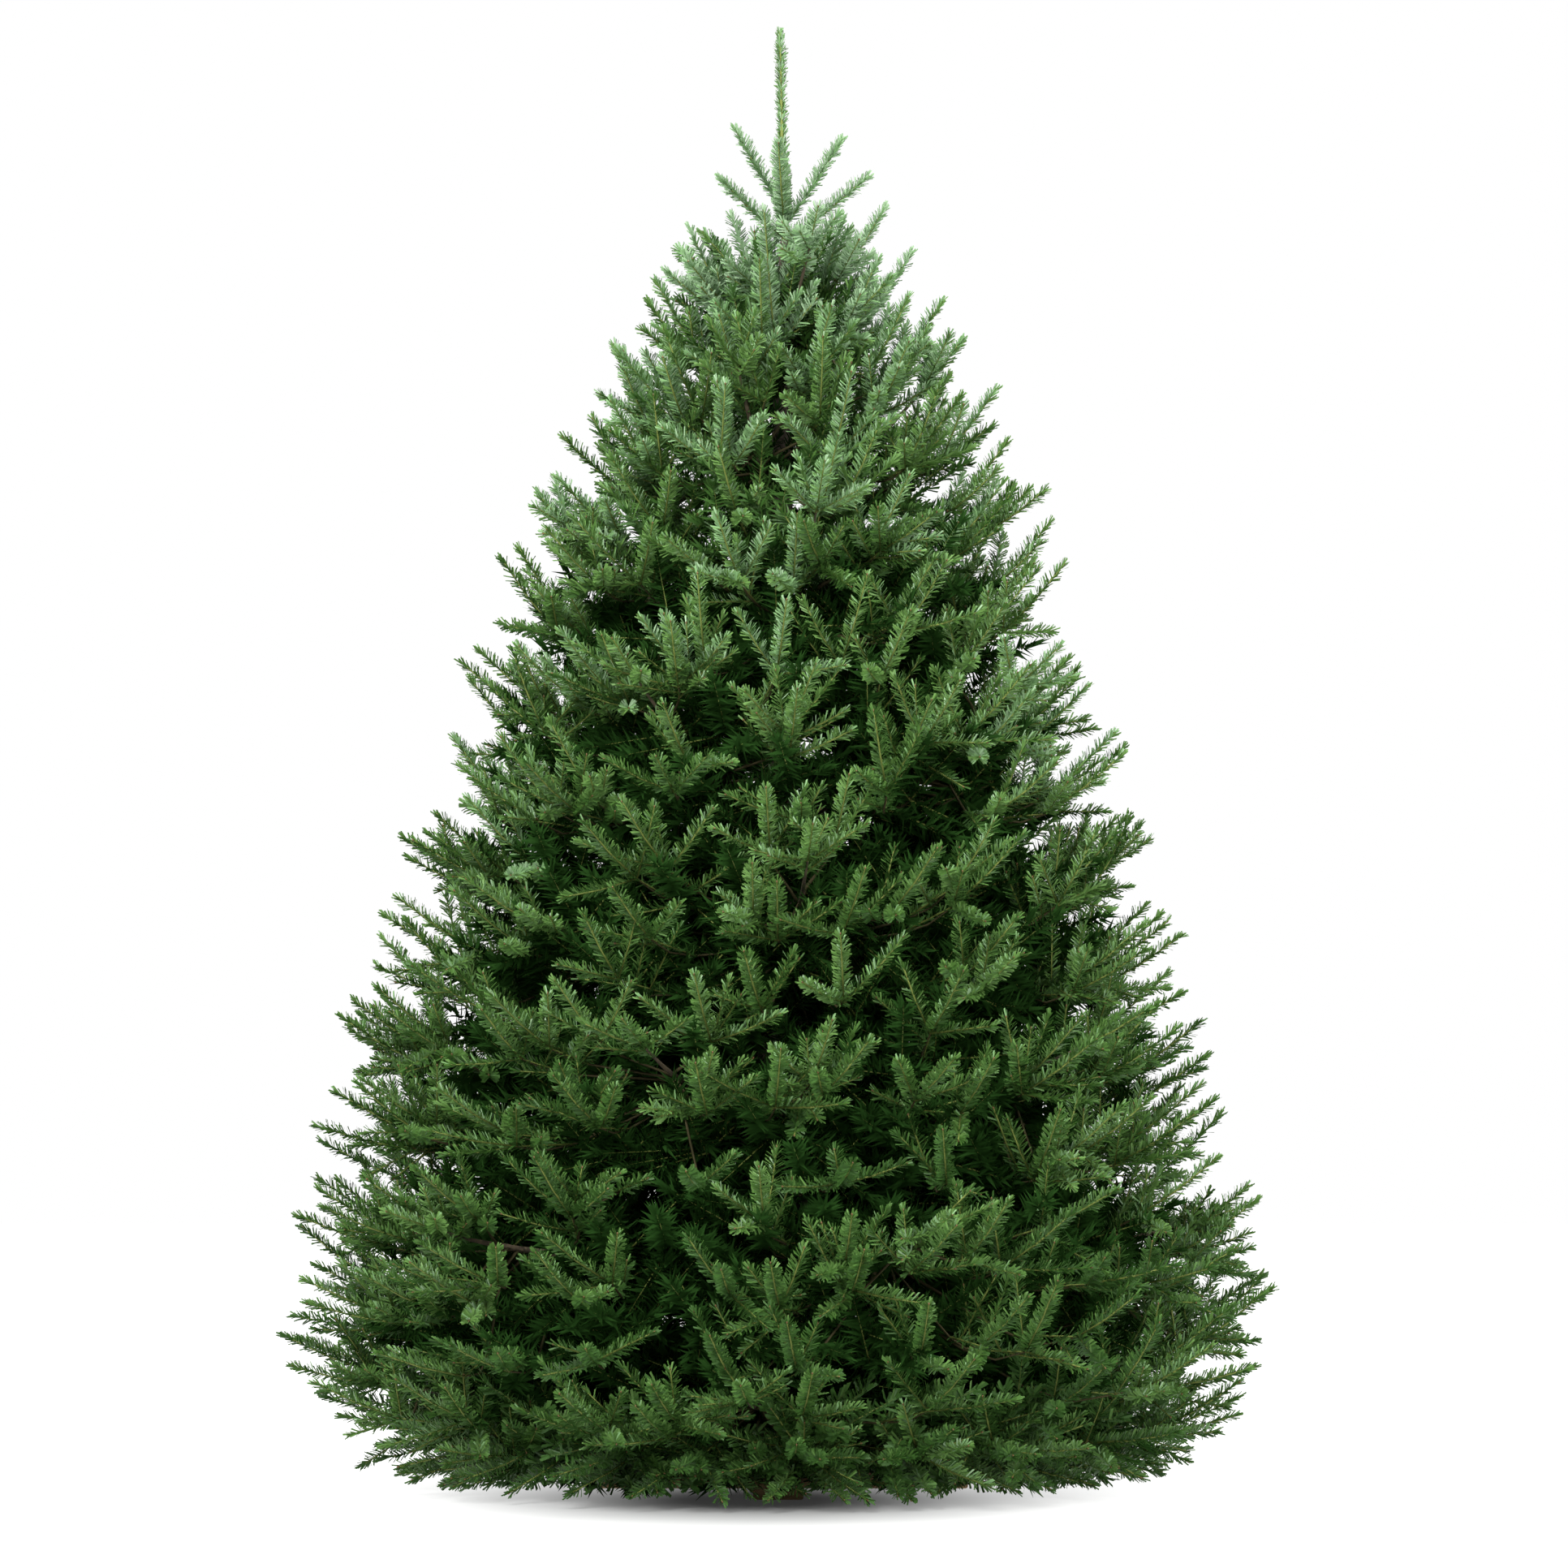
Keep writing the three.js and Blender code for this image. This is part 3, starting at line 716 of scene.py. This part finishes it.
heights = (trunk["top"], leader["split"], leader["tip"])
for low, high, size in zip(heights, heights[1:], leader["sizes"]):
    foot, tip = leaderCentre(low), leaderCentre(high)
    count = int((high - low) * shootLook["perMetre"] * leader["density"])
    for upper in (Vector((0, -1, 0)), Vector((0, 1, 0))):
        bud = high == leader["tip"] and upper.y < 0
        path, look = (foot, (foot + tip) / 2, tip), {**leaderLook, "size": size}
        keepShoot(path, upper, high - low, silverTint, count, look, bud, hasStem=False)
for shoot in topWhorl:
    heading = headingAt(math.radians(shoot["turn"]), math.radians(shoot["tilt"]))
    addShoot(None, leaderCentre(shoot["height"]), heading, shoot["length"], frostAndHighlightTint, whorlLook)
leaderFoot = trunk["top"] - leader["sunk"]
leaderPath = [leaderCentre(mix(leaderFoot, leader["tip"], k / 8)) for k in range(9)]

# Needles, stems and buds as joined meshes

needle = {
    "footWidth": 0.0021,
    "tipWidth": 0.0026,
    "spread": 0.98,  # of a shoot's length
    "first": 0.02,
    "nearestTurn": 0.2,  # radians from the upper side, where the needles are parted too
    "furthestTurn": 2.6,
    "turnPower": 0.9,
    "tipLean": 0.3,
    "tipFrom": 0.82,
    "tipDepth": 0.18,
    "tipPower": 1.2,
    "stemGap": 0.001,
    "leanPlay": 0.09,
    "twistPlay": 0.38,
    "sweep": 0.16,
    "fold": 0.0006,
    "sizeAlong": ((0, 0.1, 0.8, 1), (0.7, 1, 1, 0.85)),
    "sizePlay": (0.92, 1.07),
    "slantFrom": 0.9,  # a tip is cut aslant
    "slant": 0.7,
    "lowest": 0.001,
    "roughness": 0.5,
    "specular": 0.25,
    "mostTriangles": 195000,  # in one piece
}

# painted light on the needles: a painted highlight on the upper ones, painted shade on those
# underneath
paintedLight = {
    "upper": 1.0,
    "upperChance": 0.5,
    "ridge": 0.7,
    "ridgeChance": 0.16,
    "under": 1.6,
    "underFrom": 0.4,
}


def unit(rows):
    return rows / (np.linalg.norm(rows, axis=1, keepdims=True) + 1e-12)


def needleQuads(shoot, rng):
    count = shoot["needles"]
    a, b, c = (np.array(p) for p in shoot["path"])
    share = (np.arange(count) + rng.random(count)) / count
    along = (share * needle["spread"] + needle["first"])[:, None]
    base = a * (1 - along) ** 2 + b * 2 * along * (1 - along) + c * along ** 2
    heading = unit((b - a) * (1 - along) + (c - b) * along)
    upper = np.array(shoot["upper"])[None]
    upper = unit(upper - heading * (heading * upper).sum(1, keepdims=True))
    side = np.cross(upper, heading)
    hand = np.where(np.arange(count) % 2, 1, -1)
    turnRange = needle["furthestTurn"] - needle["nearestTurn"]
    turn = needle["nearestTurn"] + rng.random(count) ** needle["turnPower"] * turnRange
    turn = (hand * turn)[:, None]
    radial = upper * np.cos(turn) + side * np.sin(turn)
    toTip = np.clip((along - needle["tipFrom"]) / needle["tipDepth"], 0, 1)
    toTip = toTip ** needle["tipPower"]
    base = base + radial * needle["stemGap"]
    lean = mix(shoot["lean"], needle["tipLean"], toTip)
    lean = lean + rng.normal(0, needle["leanPlay"], (count, 1)) * shoot["jitter"]
    sweep = upper * needle["sweep"] * (1 - toTip)
    way = unit(heading * np.cos(lean) + radial * np.sin(lean) + sweep)
    across = np.cross(heading, radial)
    twist = rng.normal(0, needle["twistPlay"], (count, 1))
    across = unit(across * np.cos(twist) + np.cross(way, across) * np.sin(twist))
    fold = np.cross(across, way) * needle["fold"]
    size = np.interp(along, *needle["sizeAlong"])
    size = size * rng.uniform(*needle["sizePlay"], (count, 1)) * shoot["needle"]
    foot = needle["footWidth"] * shoot["width"] / 2
    tip = needle["tipWidth"] * shoot["width"] / 2
    # a needle in the shade is one face that runs to a point
    pointed = isShaded(shoot)
    tip = 0 if pointed else tip
    tint = np.full(count, shoot["tint"])
    if shoot["tint"] < shadeTint:
        # painted highlight: the upper needles take a lighter tint; painted shade: those underneath
        # take a darker one
        chance, away = rng.random(count), np.abs(turn[:, 0])
        tint -= (away < paintedLight["upper"]) & (chance < paintedLight["upperChance"])
        tint -= (away < paintedLight["ridge"]) & (chance < paintedLight["ridgeChance"])
        tint += (away > paintedLight["under"]) & (chance > paintedLight["underFrom"])
        tint = np.clip(tint, frostAndHighlightTint, deepTint)
    return tint, np.full(count, pointed), np.stack((
        base - across * foot,
        base + across * foot,
        base + way * size * needle["slantFrom"] + across * tip + fold,
        base + way * size - across * tip * needle["slant"],
    ), axis=1)


def newObject(name, data):
    made = bpy.data.objects.new(name, data)
    bpy.context.scene.collection.objects.link(made)
    return made


def meshFromArrays(name, points, triangles, material):
    points = np.asarray(points, np.float32).reshape(-1, 3)
    triangles = np.asarray(triangles, np.int32).reshape(-1, 3)
    mesh = bpy.data.meshes.new(name)
    mesh.vertices.add(len(points))
    mesh.vertices.foreach_set("co", points.ravel())
    mesh.loops.add(triangles.size)
    mesh.loops.foreach_set("vertex_index", triangles.ravel())
    mesh.polygons.add(len(triangles))
    mesh.polygons.foreach_set("loop_start", np.arange(0, triangles.size, 3, dtype=np.int32))
    mesh.update(calc_edges=True)
    mesh.validate()
    mesh.materials.append(material)
    piece = newObject(name, mesh)
    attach(piece, "root")
    return piece


def joined(parts):
    # parts of (points, triangles) as one pair of arrays
    points, triangles, start = [], [], 0
    for some, faces in parts:
        points.append(some)
        triangles.append(np.asarray(faces) + start)
        start += len(some)
    return np.vstack(points), np.vstack(triangles)


rng = np.random.default_rng(tree["seed"])
given = zip(*[needleQuads(shoot, rng) for shoot in shoots])
tintOfNeedle, isPointed, allQuads = (np.concatenate(some) for some in given)
allQuads[..., 2] = np.maximum(allQuads[..., 2], needle["lowest"])
for index, (tintName, colour) in enumerate(tints.items()):
    blunt = allQuads[(tintOfNeedle == index) & ~isPointed]
    sharp = allQuads[(tintOfNeedle == index) & isPointed][:, :3]
    specular = 0 if index == shadeTint else needle["specular"]
    material = plainMaterial("needles" + tintName, colour, needle["roughness"], specular)
    count = math.ceil((len(blunt) * 2 + len(sharp)) / needle["mostTriangles"])
    shares = zip(np.array_split(blunt, count), np.array_split(sharp, count))
    for number, (quads, single) in enumerate(shares, 1):
        start = np.arange(len(quads))[:, None] * 4
        halves = np.concatenate((start + (0, 1, 2), start + (0, 2, 3)))
        points, triangles = joined([
            (quads.reshape(-1, 3), halves),
            (single.reshape(-1, 3), np.arange(len(single) * 3).reshape(-1, 3)),
        ])
        piece = meshFromArrays("needles%s_%d" % (tintName, number), points, triangles, material)
        print(piece.name, len(triangles), "triangles")
masses = ["needles_" + space["name"] for space in spaces]
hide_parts(*masses, "leader")


tubeRule = {"steep": 0.93, "point": 3}  # the end is drawn out by so many radii


def tubeArrays(path, radii, sides):
    path = np.array([tuple(p) for p in path])
    count = len(path)
    ahead = unit(np.gradient(path, axis=0))
    steep = abs(ahead[:, 2]).max() >= tubeRule["steep"]
    level = np.array((0.0, 1.0, 0.0) if steep else (0.0, 0.0, 1.0))
    side = unit(np.cross(level, ahead))
    above = np.cross(ahead, side)
    turns = 2 * np.pi * np.arange(sides) / sides
    steps = np.linspace(0, count - 1, len(radii))
    radius = np.interp(np.arange(count), steps, radii)[:, None, None]
    across = np.cos(turns)[None, :, None] * side[:, None]
    rings = path[:, None] + radius * (across + np.sin(turns)[None, :, None] * above[:, None])
    point = path[-1:] + ahead[-1:] * radii[-1] * tubeRule["point"]
    points = np.vstack((rings.reshape(-1, 3), path[:1], point))
    k = np.arange(sides)
    following = (k + 1) % sides
    faces = []
    for i in range(count - 1):
        low, high = i * sides, (i + 1) * sides
        faces.append(np.stack((low + k, low + following, high + following), 1))
        faces.append(np.stack((low + k, high + following, high + k), 1))
    last = (count - 1) * sides
    faces.append(np.stack((np.full(sides, count * sides), following, k), 1))
    faces.append(np.stack((np.full(sides, count * sides + 1), last + k, last + following), 1))
    return points, np.vstack(faces)


budLook = {
    "tip": (0.0045, 0.0018),  # length and width at a shoot's tip
    "fork": (0.005, 0.0024),  # and where a fan begins
    "forkLift": 0.003,
    "widest": 0.35,
    "sunk": 0.25,
}


def budArrays(place, heading, length, width):
    side, above = frameAt(Vector(heading))
    place, heading = np.array(place), np.array(heading)
    side, above = np.array(side) * width, np.array(above) * width
    middle = place + heading * length * budLook["widest"]
    ring = (middle + side, middle - side / 2 + above, middle - side / 2 - above)
    foot = place - heading * length * budLook["sunk"]
    points = np.array((foot, *ring, place + heading * length))
    faces = [(0, 2, 1), (0, 3, 2), (0, 1, 3), (4, 1, 2), (4, 2, 3), (4, 3, 1)]
    return points, faces


def spikeArrays(foot, tip, radius):
    # a shaded stem is one thin pyramid
    side, above = frameAt((tip - foot).normalized())
    back = foot - side * radius / 2
    ring = (foot + side * radius, back + above * radius, back - above * radius)
    faces = [(0, 2, 1), (0, 1, 3), (1, 2, 3), (2, 0, 3)]
    return np.array([tuple(p) for p in (*ring, tip)]), faces


def stemArrays(shoot):
    path, radius = shoot["path"], shootLook["stemRadius"]
    if shoot["width"] > 1:
        return spikeArrays(path[0], path[2], radius)
    path = path[::2] if shoot["length"] < shootLook["straightBelow"] else path
    return tubeArrays(path, (radius, radius * shootLook["stemTaper"]), 3)


# colour, roughness and specular
limbLooks = {
    "shootStem": (fromScreen(108, 118, 58), 0.6, 0.2),
    "oldTwig": (fromScreen(60, 56, 36), 0.8, 0.1),
    "bud": (fromScreen(104, 80, 50), 0.5, 0.3),
}


def addLimbPiece(name, parts, look):
    piece = meshFromArrays(name, *joined(parts), plainMaterial(look, *limbLooks[look]))
    print(piece.name, len(piece.data.polygons), "triangles")


stemParts = [stemArrays(shoot) for shoot in shoots if shoot["hasStem"]]
stemParts.append(tubeArrays(leaderPath, (leader["footRadius"], leader["tipRadius"]), 8))
addLimbPiece("shootStems", stemParts, "shootStem")
addLimbPiece("oldTwigs", [tubeArrays(twig["path"], twig["radii"], 3) for twig in twigs], "oldTwig")
budParts = []
for shoot in shoots:
    if shoot["bud"]:
        middle, tip = shoot["path"][1:]
        budParts.append(budArrays(tip, (tip - middle).normalized(), *budLook["tip"]))
for root, heading in budPlaces:
    place = root + frameAt(heading)[1] * budLook["forkLift"]
    budParts.append(budArrays(place, heading, *budLook["fork"]))
addLimbPiece("buds", budParts, "bud")

# Trunk and boughs with the bark's relief

barkLook = {
    "blisters": 130,
    "stretch": (1, 1, 0.45),
    "darkAt": 0.32,
    "lightAt": 0.72,
    "roughness": 0.85,
    "smoothBelow": 50,  # degrees between faces
}
trunkBark = {
    "grain": 34,
    "blisters": 0.5,
    "dark": fromScreen(50, 43, 36),
    "light": fromScreen(108, 98, 86),
    "cloudSize": 0.018,
    "relief": 0.0044,
    "ringPower": 1.2,
    "buttEdge": 0.001,  # the cut itself stays flat
}
boughBark = {
    "grain": 60,
    "blisters": 0.3,
    "dark": fromScreen(42, 36, 26),
    "light": fromScreen(88, 76, 56),
    "cloudSize": 0.012,
    "relief": 0.0016,
    "sides": 10,
}


def linkNodes(tree, *wires):
    for source, output, target, socket in wires:
        tree.links.new(source.outputs[output], target.inputs[socket])


def newGroup(name, given, result):
    # each socket's kind by its name
    group = bpy.data.node_groups.new(name, "ShaderNodeTree")
    for way, sockets in (("INPUT", given), ("OUTPUT", result)):
        for socket, kind in sockets.items():
            group.interface.new_socket(socket, in_out=way, socket_type="NodeSocket" + kind)
    nodes = group.nodes
    return group, nodes, nodes.new("NodeGroupInput"), nodes.new("NodeGroupOutput")


def addNode(nodes, kind, constants={}, operation=None):
    node = nodes.new(kind)
    for socket, value in constants.items():
        node.inputs[socket].default_value = value
    if operation:
        node.operation = operation
    return node


def addRamp(nodes, *stops):
    ramp = nodes.new("ShaderNodeValToRGB")
    for stop, (position, colour) in zip(ramp.color_ramp.elements, stops):
        stop.position = position
        stop.color = (*colour, 1)
    return ramp


def reliefGroup():
    # a fine-grained bark: a stretched noise for its grain and small cells for its blisters
    sockets = {"Scale": "Float", "Blisters": "Float"}, {"Mask": "Float", "Normal": "Vector"}
    group, nodes, given, result = newGroup("barkRelief", *sockets)
    place = nodes.new("ShaderNodeTexCoord")
    stretch = addNode(nodes, "ShaderNodeMapping", {"Scale": barkLook["stretch"]})
    grain = addNode(nodes, "ShaderNodeTexNoise", {"Detail": 6, "Roughness": 0.62})
    cells = addNode(nodes, "ShaderNodeTexVoronoi", {"Scale": barkLook["blisters"]})
    raised = addNode(nodes, "ShaderNodeMapRange", {"From Min": 0.38, "From Max": 0.1})
    lift = addNode(nodes, "ShaderNodeMath", operation="MULTIPLY")
    total = addNode(nodes, "ShaderNodeMath", operation="ADD")
    bump = addNode(nodes, "ShaderNodeBump", {"Strength": 0.6, "Distance": 0.0015})
    linkNodes(
        group,
        (place, "Object", stretch, "Vector"),
        (stretch, "Vector", grain, "Vector"),
        (given, "Scale", grain, "Scale"),
        (place, "Object", cells, "Vector"),
        (cells, "Distance", raised, "Value"),
        (raised, "Result", lift, 0),
        (given, "Blisters", lift, 1),
        (grain, "Fac", total, 0),
        (lift, "Value", total, 1),
        (total, "Value", bump, "Height"),
        (total, "Value", result, "Mask"),
        (bump, "Normal", result, "Normal"),
    )
    return group


reliefNodes = reliefGroup()


def barkMaterial(name, bark):
    material, shader = newMaterial(name)
    nodes = material.node_tree.nodes
    relief = nodes.new("ShaderNodeGroup")
    relief.node_tree = reliefNodes
    relief.inputs["Scale"].default_value = bark["grain"]
    relief.inputs["Blisters"].default_value = bark["blisters"]
    ramp = addRamp(nodes, (barkLook["darkAt"], bark["dark"]), (barkLook["lightAt"], bark["light"]))
    linkNodes(
        material.node_tree,
        (relief, "Mask", ramp, "Fac"),
        (ramp, "Color", shader, "Base Color"),
        (relief, "Normal", shader, "Normal"),
    )
    shader.inputs["Roughness"].default_value = barkLook["roughness"]
    return material


def selectOnly(piece):
    bpy.ops.object.select_all(action="DESELECT")
    piece.select_set(True)
    bpy.context.view_layer.objects.active = piece


def applyModifier(piece, kind, **settings):
    selectOnly(piece)
    modifier = piece.modifiers.new(kind.lower(), kind)
    for name, value in settings.items():
        setattr(modifier, name, value)
    bpy.ops.object.modifier_apply(modifier=modifier.name)


def addRelief(piece, name, bark, **settings):
    texture = bpy.data.textures.new(name, "CLOUDS")
    texture.noise_scale = bark["cloudSize"]
    texture.noise_depth = 3
    applyModifier(piece, "DISPLACE", texture=texture, strength=bark["relief"], mid_level=0.5,
                  texture_coords="GLOBAL", **settings)
    bpy.ops.object.shade_smooth_by_angle(angle=math.radians(barkLook["smoothBelow"]))


def finishPiece(piece, material):
    selectOnly(piece)
    bpy.ops.object.transform_apply(location=True, rotation=True, scale=True)
    piece.data.materials.clear()
    piece.data.materials.append(material)
    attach(piece, "root")
    print(piece.name, len(piece.data.polygons), "faces")


def makeTrunk():
    # drawn up ring by ring from the cut butt, then given its relief
    shares = [(k / trunk["rings"]) ** trunkBark["ringPower"] for k in range(trunk["rings"] + 1)]
    heights = [mix(trunk["cut"], trunk["top"], share) for share in shares]
    bpy.ops.mesh.primitive_circle_add(
        vertices=trunk["sides"], radius=trunkRadius(heights[0]), fill_type="NGON",
        location=trunkCentre(heights[0]))
    piece = bpy.context.object
    piece.name = "trunkBark"
    bpy.ops.object.mode_set(mode="EDIT")
    bpy.ops.mesh.select_all(action="SELECT")
    for low, high in zip(heights, heights[1:]):
        move = trunkCentre(high) - trunkCentre(low)
        bpy.ops.mesh.extrude_region_move(TRANSFORM_OT_translate={"value": move})
        size = trunkRadius(high) / trunkRadius(low)
        bpy.ops.transform.resize(value=(size, size, 1))
    bpy.ops.object.mode_set(mode="OBJECT")
    selectOnly(piece)
    bpy.ops.object.transform_apply(location=True, rotation=True, scale=True)
    side = piece.vertex_groups.new(name="bark")
    above = heights[0] + trunkBark["buttEdge"]
    side.add([v.index for v in piece.data.vertices if v.co.z > above], 1, "REPLACE")
    addRelief(piece, "trunkRidges", trunkBark, vertex_group="bark")
    finishPiece(piece, barkMaterial("trunkBark", trunkBark))
    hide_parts("trunk")


makeTrunk()

limbParts = []
for limb in limbs:
    path = limb["path"]
    steps = np.linspace(0, len(path) - 1, len(path) * 2 - 1)
    given = np.array([tuple(p) for p in path])
    finePath = np.stack([np.interp(steps, np.arange(len(path)), given[:, k]) for k in range(3)], 1)
    limbParts.append(tubeArrays(finePath, limb["radii"], boughBark["sides"]))
boughs = meshFromArrays("boughs", *joined(limbParts), barkMaterial("boughBark", boughBark))
addRelief(boughs, "boughRidges", boughBark)
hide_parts(*["bough_" + limb["name"] for limb in limbs if limb["root"]])
print("boughs", len(boughs.data.polygons), "triangles")

# The cross stand: halved boards and four braces, its edges eased

standLook = {
    "edge": 0.003,
    "edgeAbove": 40,  # degrees between faces
    "flatBelow": 1,
    "weld": 1e-5,
    "grainScale": 14,
    "bands": 9,
    "stretch": (0.12, 1, 1),
    "dark": fromScreen(84, 66, 44),
    "light": fromScreen(142, 116, 78),
    "darkAt": 0.3,
    "roughness": 0.75,
}


def grainGroup():
    # growth rings drawn out along the board, with fine pores over them
    sockets = {"Vector": "Vector", "Scale": "Float"}, {"Mask": "Float"}
    group, nodes, given, result = newGroup("woodGrain", *sockets)
    rings = addNode(nodes, "ShaderNodeTexNoise", {"Detail": 3, "Distortion": 0.8})
    bands = addNode(nodes, "ShaderNodeMath", {1: standLook["bands"]}, "MULTIPLY")
    saw = addNode(nodes, "ShaderNodeMath", {1: 1}, "PINGPONG")
    pores = addNode(nodes, "ShaderNodeTexNoise", {"Scale": 160, "Detail": 4})
    both = addNode(nodes, "ShaderNodeMath", {1: 0.6}, "MULTIPLY_ADD")
    linkNodes(
        group,
        (given, "Vector", rings, "Vector"),
        (given, "Scale", rings, "Scale"),
        (given, "Vector", pores, "Vector"),
        (rings, "Fac", bands, 0),
        (bands, "Value", saw, 0),
        (saw, "Value", both, 0),
        (pores, "Fac", both, 2),
        (both, "Value", result, "Mask"),
    )
    return group


grainNodes = grainGroup()


def timberMaterial(name, turn):
    # turn lays the grain along the board
    material, shader = newMaterial(name)
    nodes = material.node_tree.nodes
    place = nodes.new("ShaderNodeTexCoord")
    lay = addNode(nodes, "ShaderNodeMapping", {"Rotation": turn, "Scale": standLook["stretch"]})
    grain = nodes.new("ShaderNodeGroup")
    grain.node_tree = grainNodes
    grain.inputs["Scale"].default_value = standLook["grainScale"]
    ramp = addRamp(nodes, (standLook["darkAt"], standLook["dark"]), (1, standLook["light"]))
    bump = addNode(nodes, "ShaderNodeBump", {"Strength": 0.35, "Distance": 0.0008})
    linkNodes(
        material.node_tree,
        (place, "Object", lay, "Vector"),
        (lay, "Vector", grain, "Vector"),
        (grain, "Mask", ramp, "Fac"),
        (grain, "Mask", bump, "Height"),
        (ramp, "Color", shader, "Base Color"),
        (bump, "Normal", shader, "Normal"),
    )
    shader.inputs["Roughness"].default_value = standLook["roughness"]
    return material


alongX = timberMaterial("timberAlongX", (0, 0, 0))
alongY = timberMaterial("timberAlongY", (0, 0, math.pi / 2))
upright = timberMaterial("timberUpright", (0, math.pi / 2, 0))


def makeStandPart(node, name, material):
    piece = newObject(name, bpy.data.objects[node].data.copy())
    selectOnly(piece)
    bpy.ops.object.mode_set(mode="EDIT")
    bpy.ops.mesh.select_all(action="SELECT")
    bpy.ops.mesh.remove_doubles(threshold=standLook["weld"])
    bpy.ops.mesh.dissolve_limited(angle_limit=math.radians(standLook["flatBelow"]))
    bpy.ops.object.mode_set(mode="OBJECT")
    applyModifier(piece, "BEVEL", width=standLook["edge"], segments=2, limit_method="ANGLE",
                  angle_limit=math.radians(standLook["edgeAbove"]))
    finishPiece(piece, material)
    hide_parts(node)


makeStandPart("stand_board_lower", "lowerBoard", alongX)
makeStandPart("stand_board_upper", "upperBoard", alongY)
for number in range(1, 5):
    makeStandPart("stand_brace_%d" % number, "brace_%d" % number, upright)

# Floor, light and camera

studio = {
    "floor": 30,
    "cameraHeight": 0.6,
    "cameraDistance": 9.0,
    "aimHeight": 1.006,
    "frameHeight": 2.253,
    "shiftX": 0.008,
    "sensor": 36,  # the camera's, in millimetres
    "lampAim": 1.0,
    "skySeen": {"Color": (1, 1, 1, 1), "Strength": 1.0},
    "skyLight": {"Color": (0.93, 1, 0.86, 1), "Strength": 0.385},
}
floorLook = {
    # the dim grey base shows where the glow fades, as a painted shadow around the tree
    "plain": ((0.24, 0.24, 0.24), 0.9, 0.1),  # colour, roughness and specular
    "shape": {"Location": (0.04, 0.28, 0), "Scale": (1.35, 1, 1)},
    # the glow fades out in an oval under and in front of the tree: a painted shadow
    "glow": {"From Min": 0.1, "From Max": 0.8, "To Min": 0.03, "To Max": 1.0},
}


def floorMaterial():
    # a lit studio floor with a painted shadow: its glow fades out in an oval under and in front of
    # the tree, deepening the real shadow there, and it glows pale further out
    material = plainMaterial("floorWithPaintedShadow", *floorLook["plain"])
    nodes = material.node_tree.nodes
    shader = nodes["Principled BSDF"]
    place = nodes.new("ShaderNodeTexCoord")
    forward = addNode(nodes, "ShaderNodeMapping", floorLook["shape"])
    reach = addNode(nodes, "ShaderNodeVectorMath", operation="LENGTH")
    paintedShadowFade = addNode(nodes, "ShaderNodeMapRange", floorLook["glow"])
    paintedShadowFade.interpolation_type = "SMOOTHSTEP"
    linkNodes(
        material.node_tree,
        (place, "Object", forward, "Vector"),
        (forward, "Vector", reach, 0),
        (reach, "Value", paintedShadowFade, "Value"),
        (paintedShadowFade, "Result", shader, "Emission Strength"),
    )
    shader.inputs["Emission Color"].default_value = (1, 1, 1, 1)
    return material


bpy.ops.mesh.primitive_plane_add(size=studio["floor"], location=(0, 0, 0))
floor = bpy.context.object
floor.name = "floor"
floor.data.materials.append(floorMaterial())

world = bpy.data.worlds.new("studio")
bpy.context.scene.world = world
world.use_nodes = True
nodes = world.node_tree.nodes
nodes.clear()
seen = addNode(nodes, "ShaderNodeBackground", studio["skySeen"])
lighting = addNode(nodes, "ShaderNodeBackground", studio["skyLight"])
rays = nodes.new("ShaderNodeLightPath")
blend = nodes.new("ShaderNodeMixShader")
output = nodes.new("ShaderNodeOutputWorld")
linkNodes(
    world.node_tree,
    (rays, "Is Camera Ray", blend, "Fac"),
    (lighting, "Background", blend, 1),
    (seen, "Background", blend, 2),
    (blend, "Shader", output, "Surface"),
)

lights = [
    {"name": "keyLight", "place": (-2.0, -5.0, 4.2), "size": 2.6, "power": 560},
    {"name": "fillLight", "place": (3.0, -4.8, 2.4), "size": 2.6, "power": 210},
    {"name": "topLight", "place": (0.2, 0.4, 6.0), "size": 3.0, "power": 255},
]


def placeAimed(name, data, spot, aim):
    holder = newObject(name, data)
    holder.location = spot
    holder.rotation_euler = (aim - spot).to_track_quat("-Z", "Y").to_euler()
    return holder


for light in lights:
    lamp = bpy.data.lights.new(light["name"], "AREA")
    lamp.size = light["size"]
    lamp.energy = light["power"]
    placeAimed(light["name"], lamp, Vector(light["place"]), Vector((0, 0, studio["lampAim"])))

camera = bpy.data.cameras.new("camera")
camera.sensor_width = studio["sensor"]
aim = Vector((studio["shiftX"], 0, studio["aimHeight"]))
spot = Vector((studio["shiftX"], -studio["cameraDistance"], studio["cameraHeight"]))
camera.lens = studio["sensor"] / 2 / (studio["frameHeight"] / 2 / (aim - spot).length)
bpy.context.scene.camera = placeAimed("camera", camera, spot, aim)
bpy.context.scene.view_settings.view_transform = "Standard"

shown = [p for p in bpy.context.scene.objects if p.type == "MESH" and not p.hide_render]
print("faces shown:", sum(len(p.data.polygons) for p in shown))
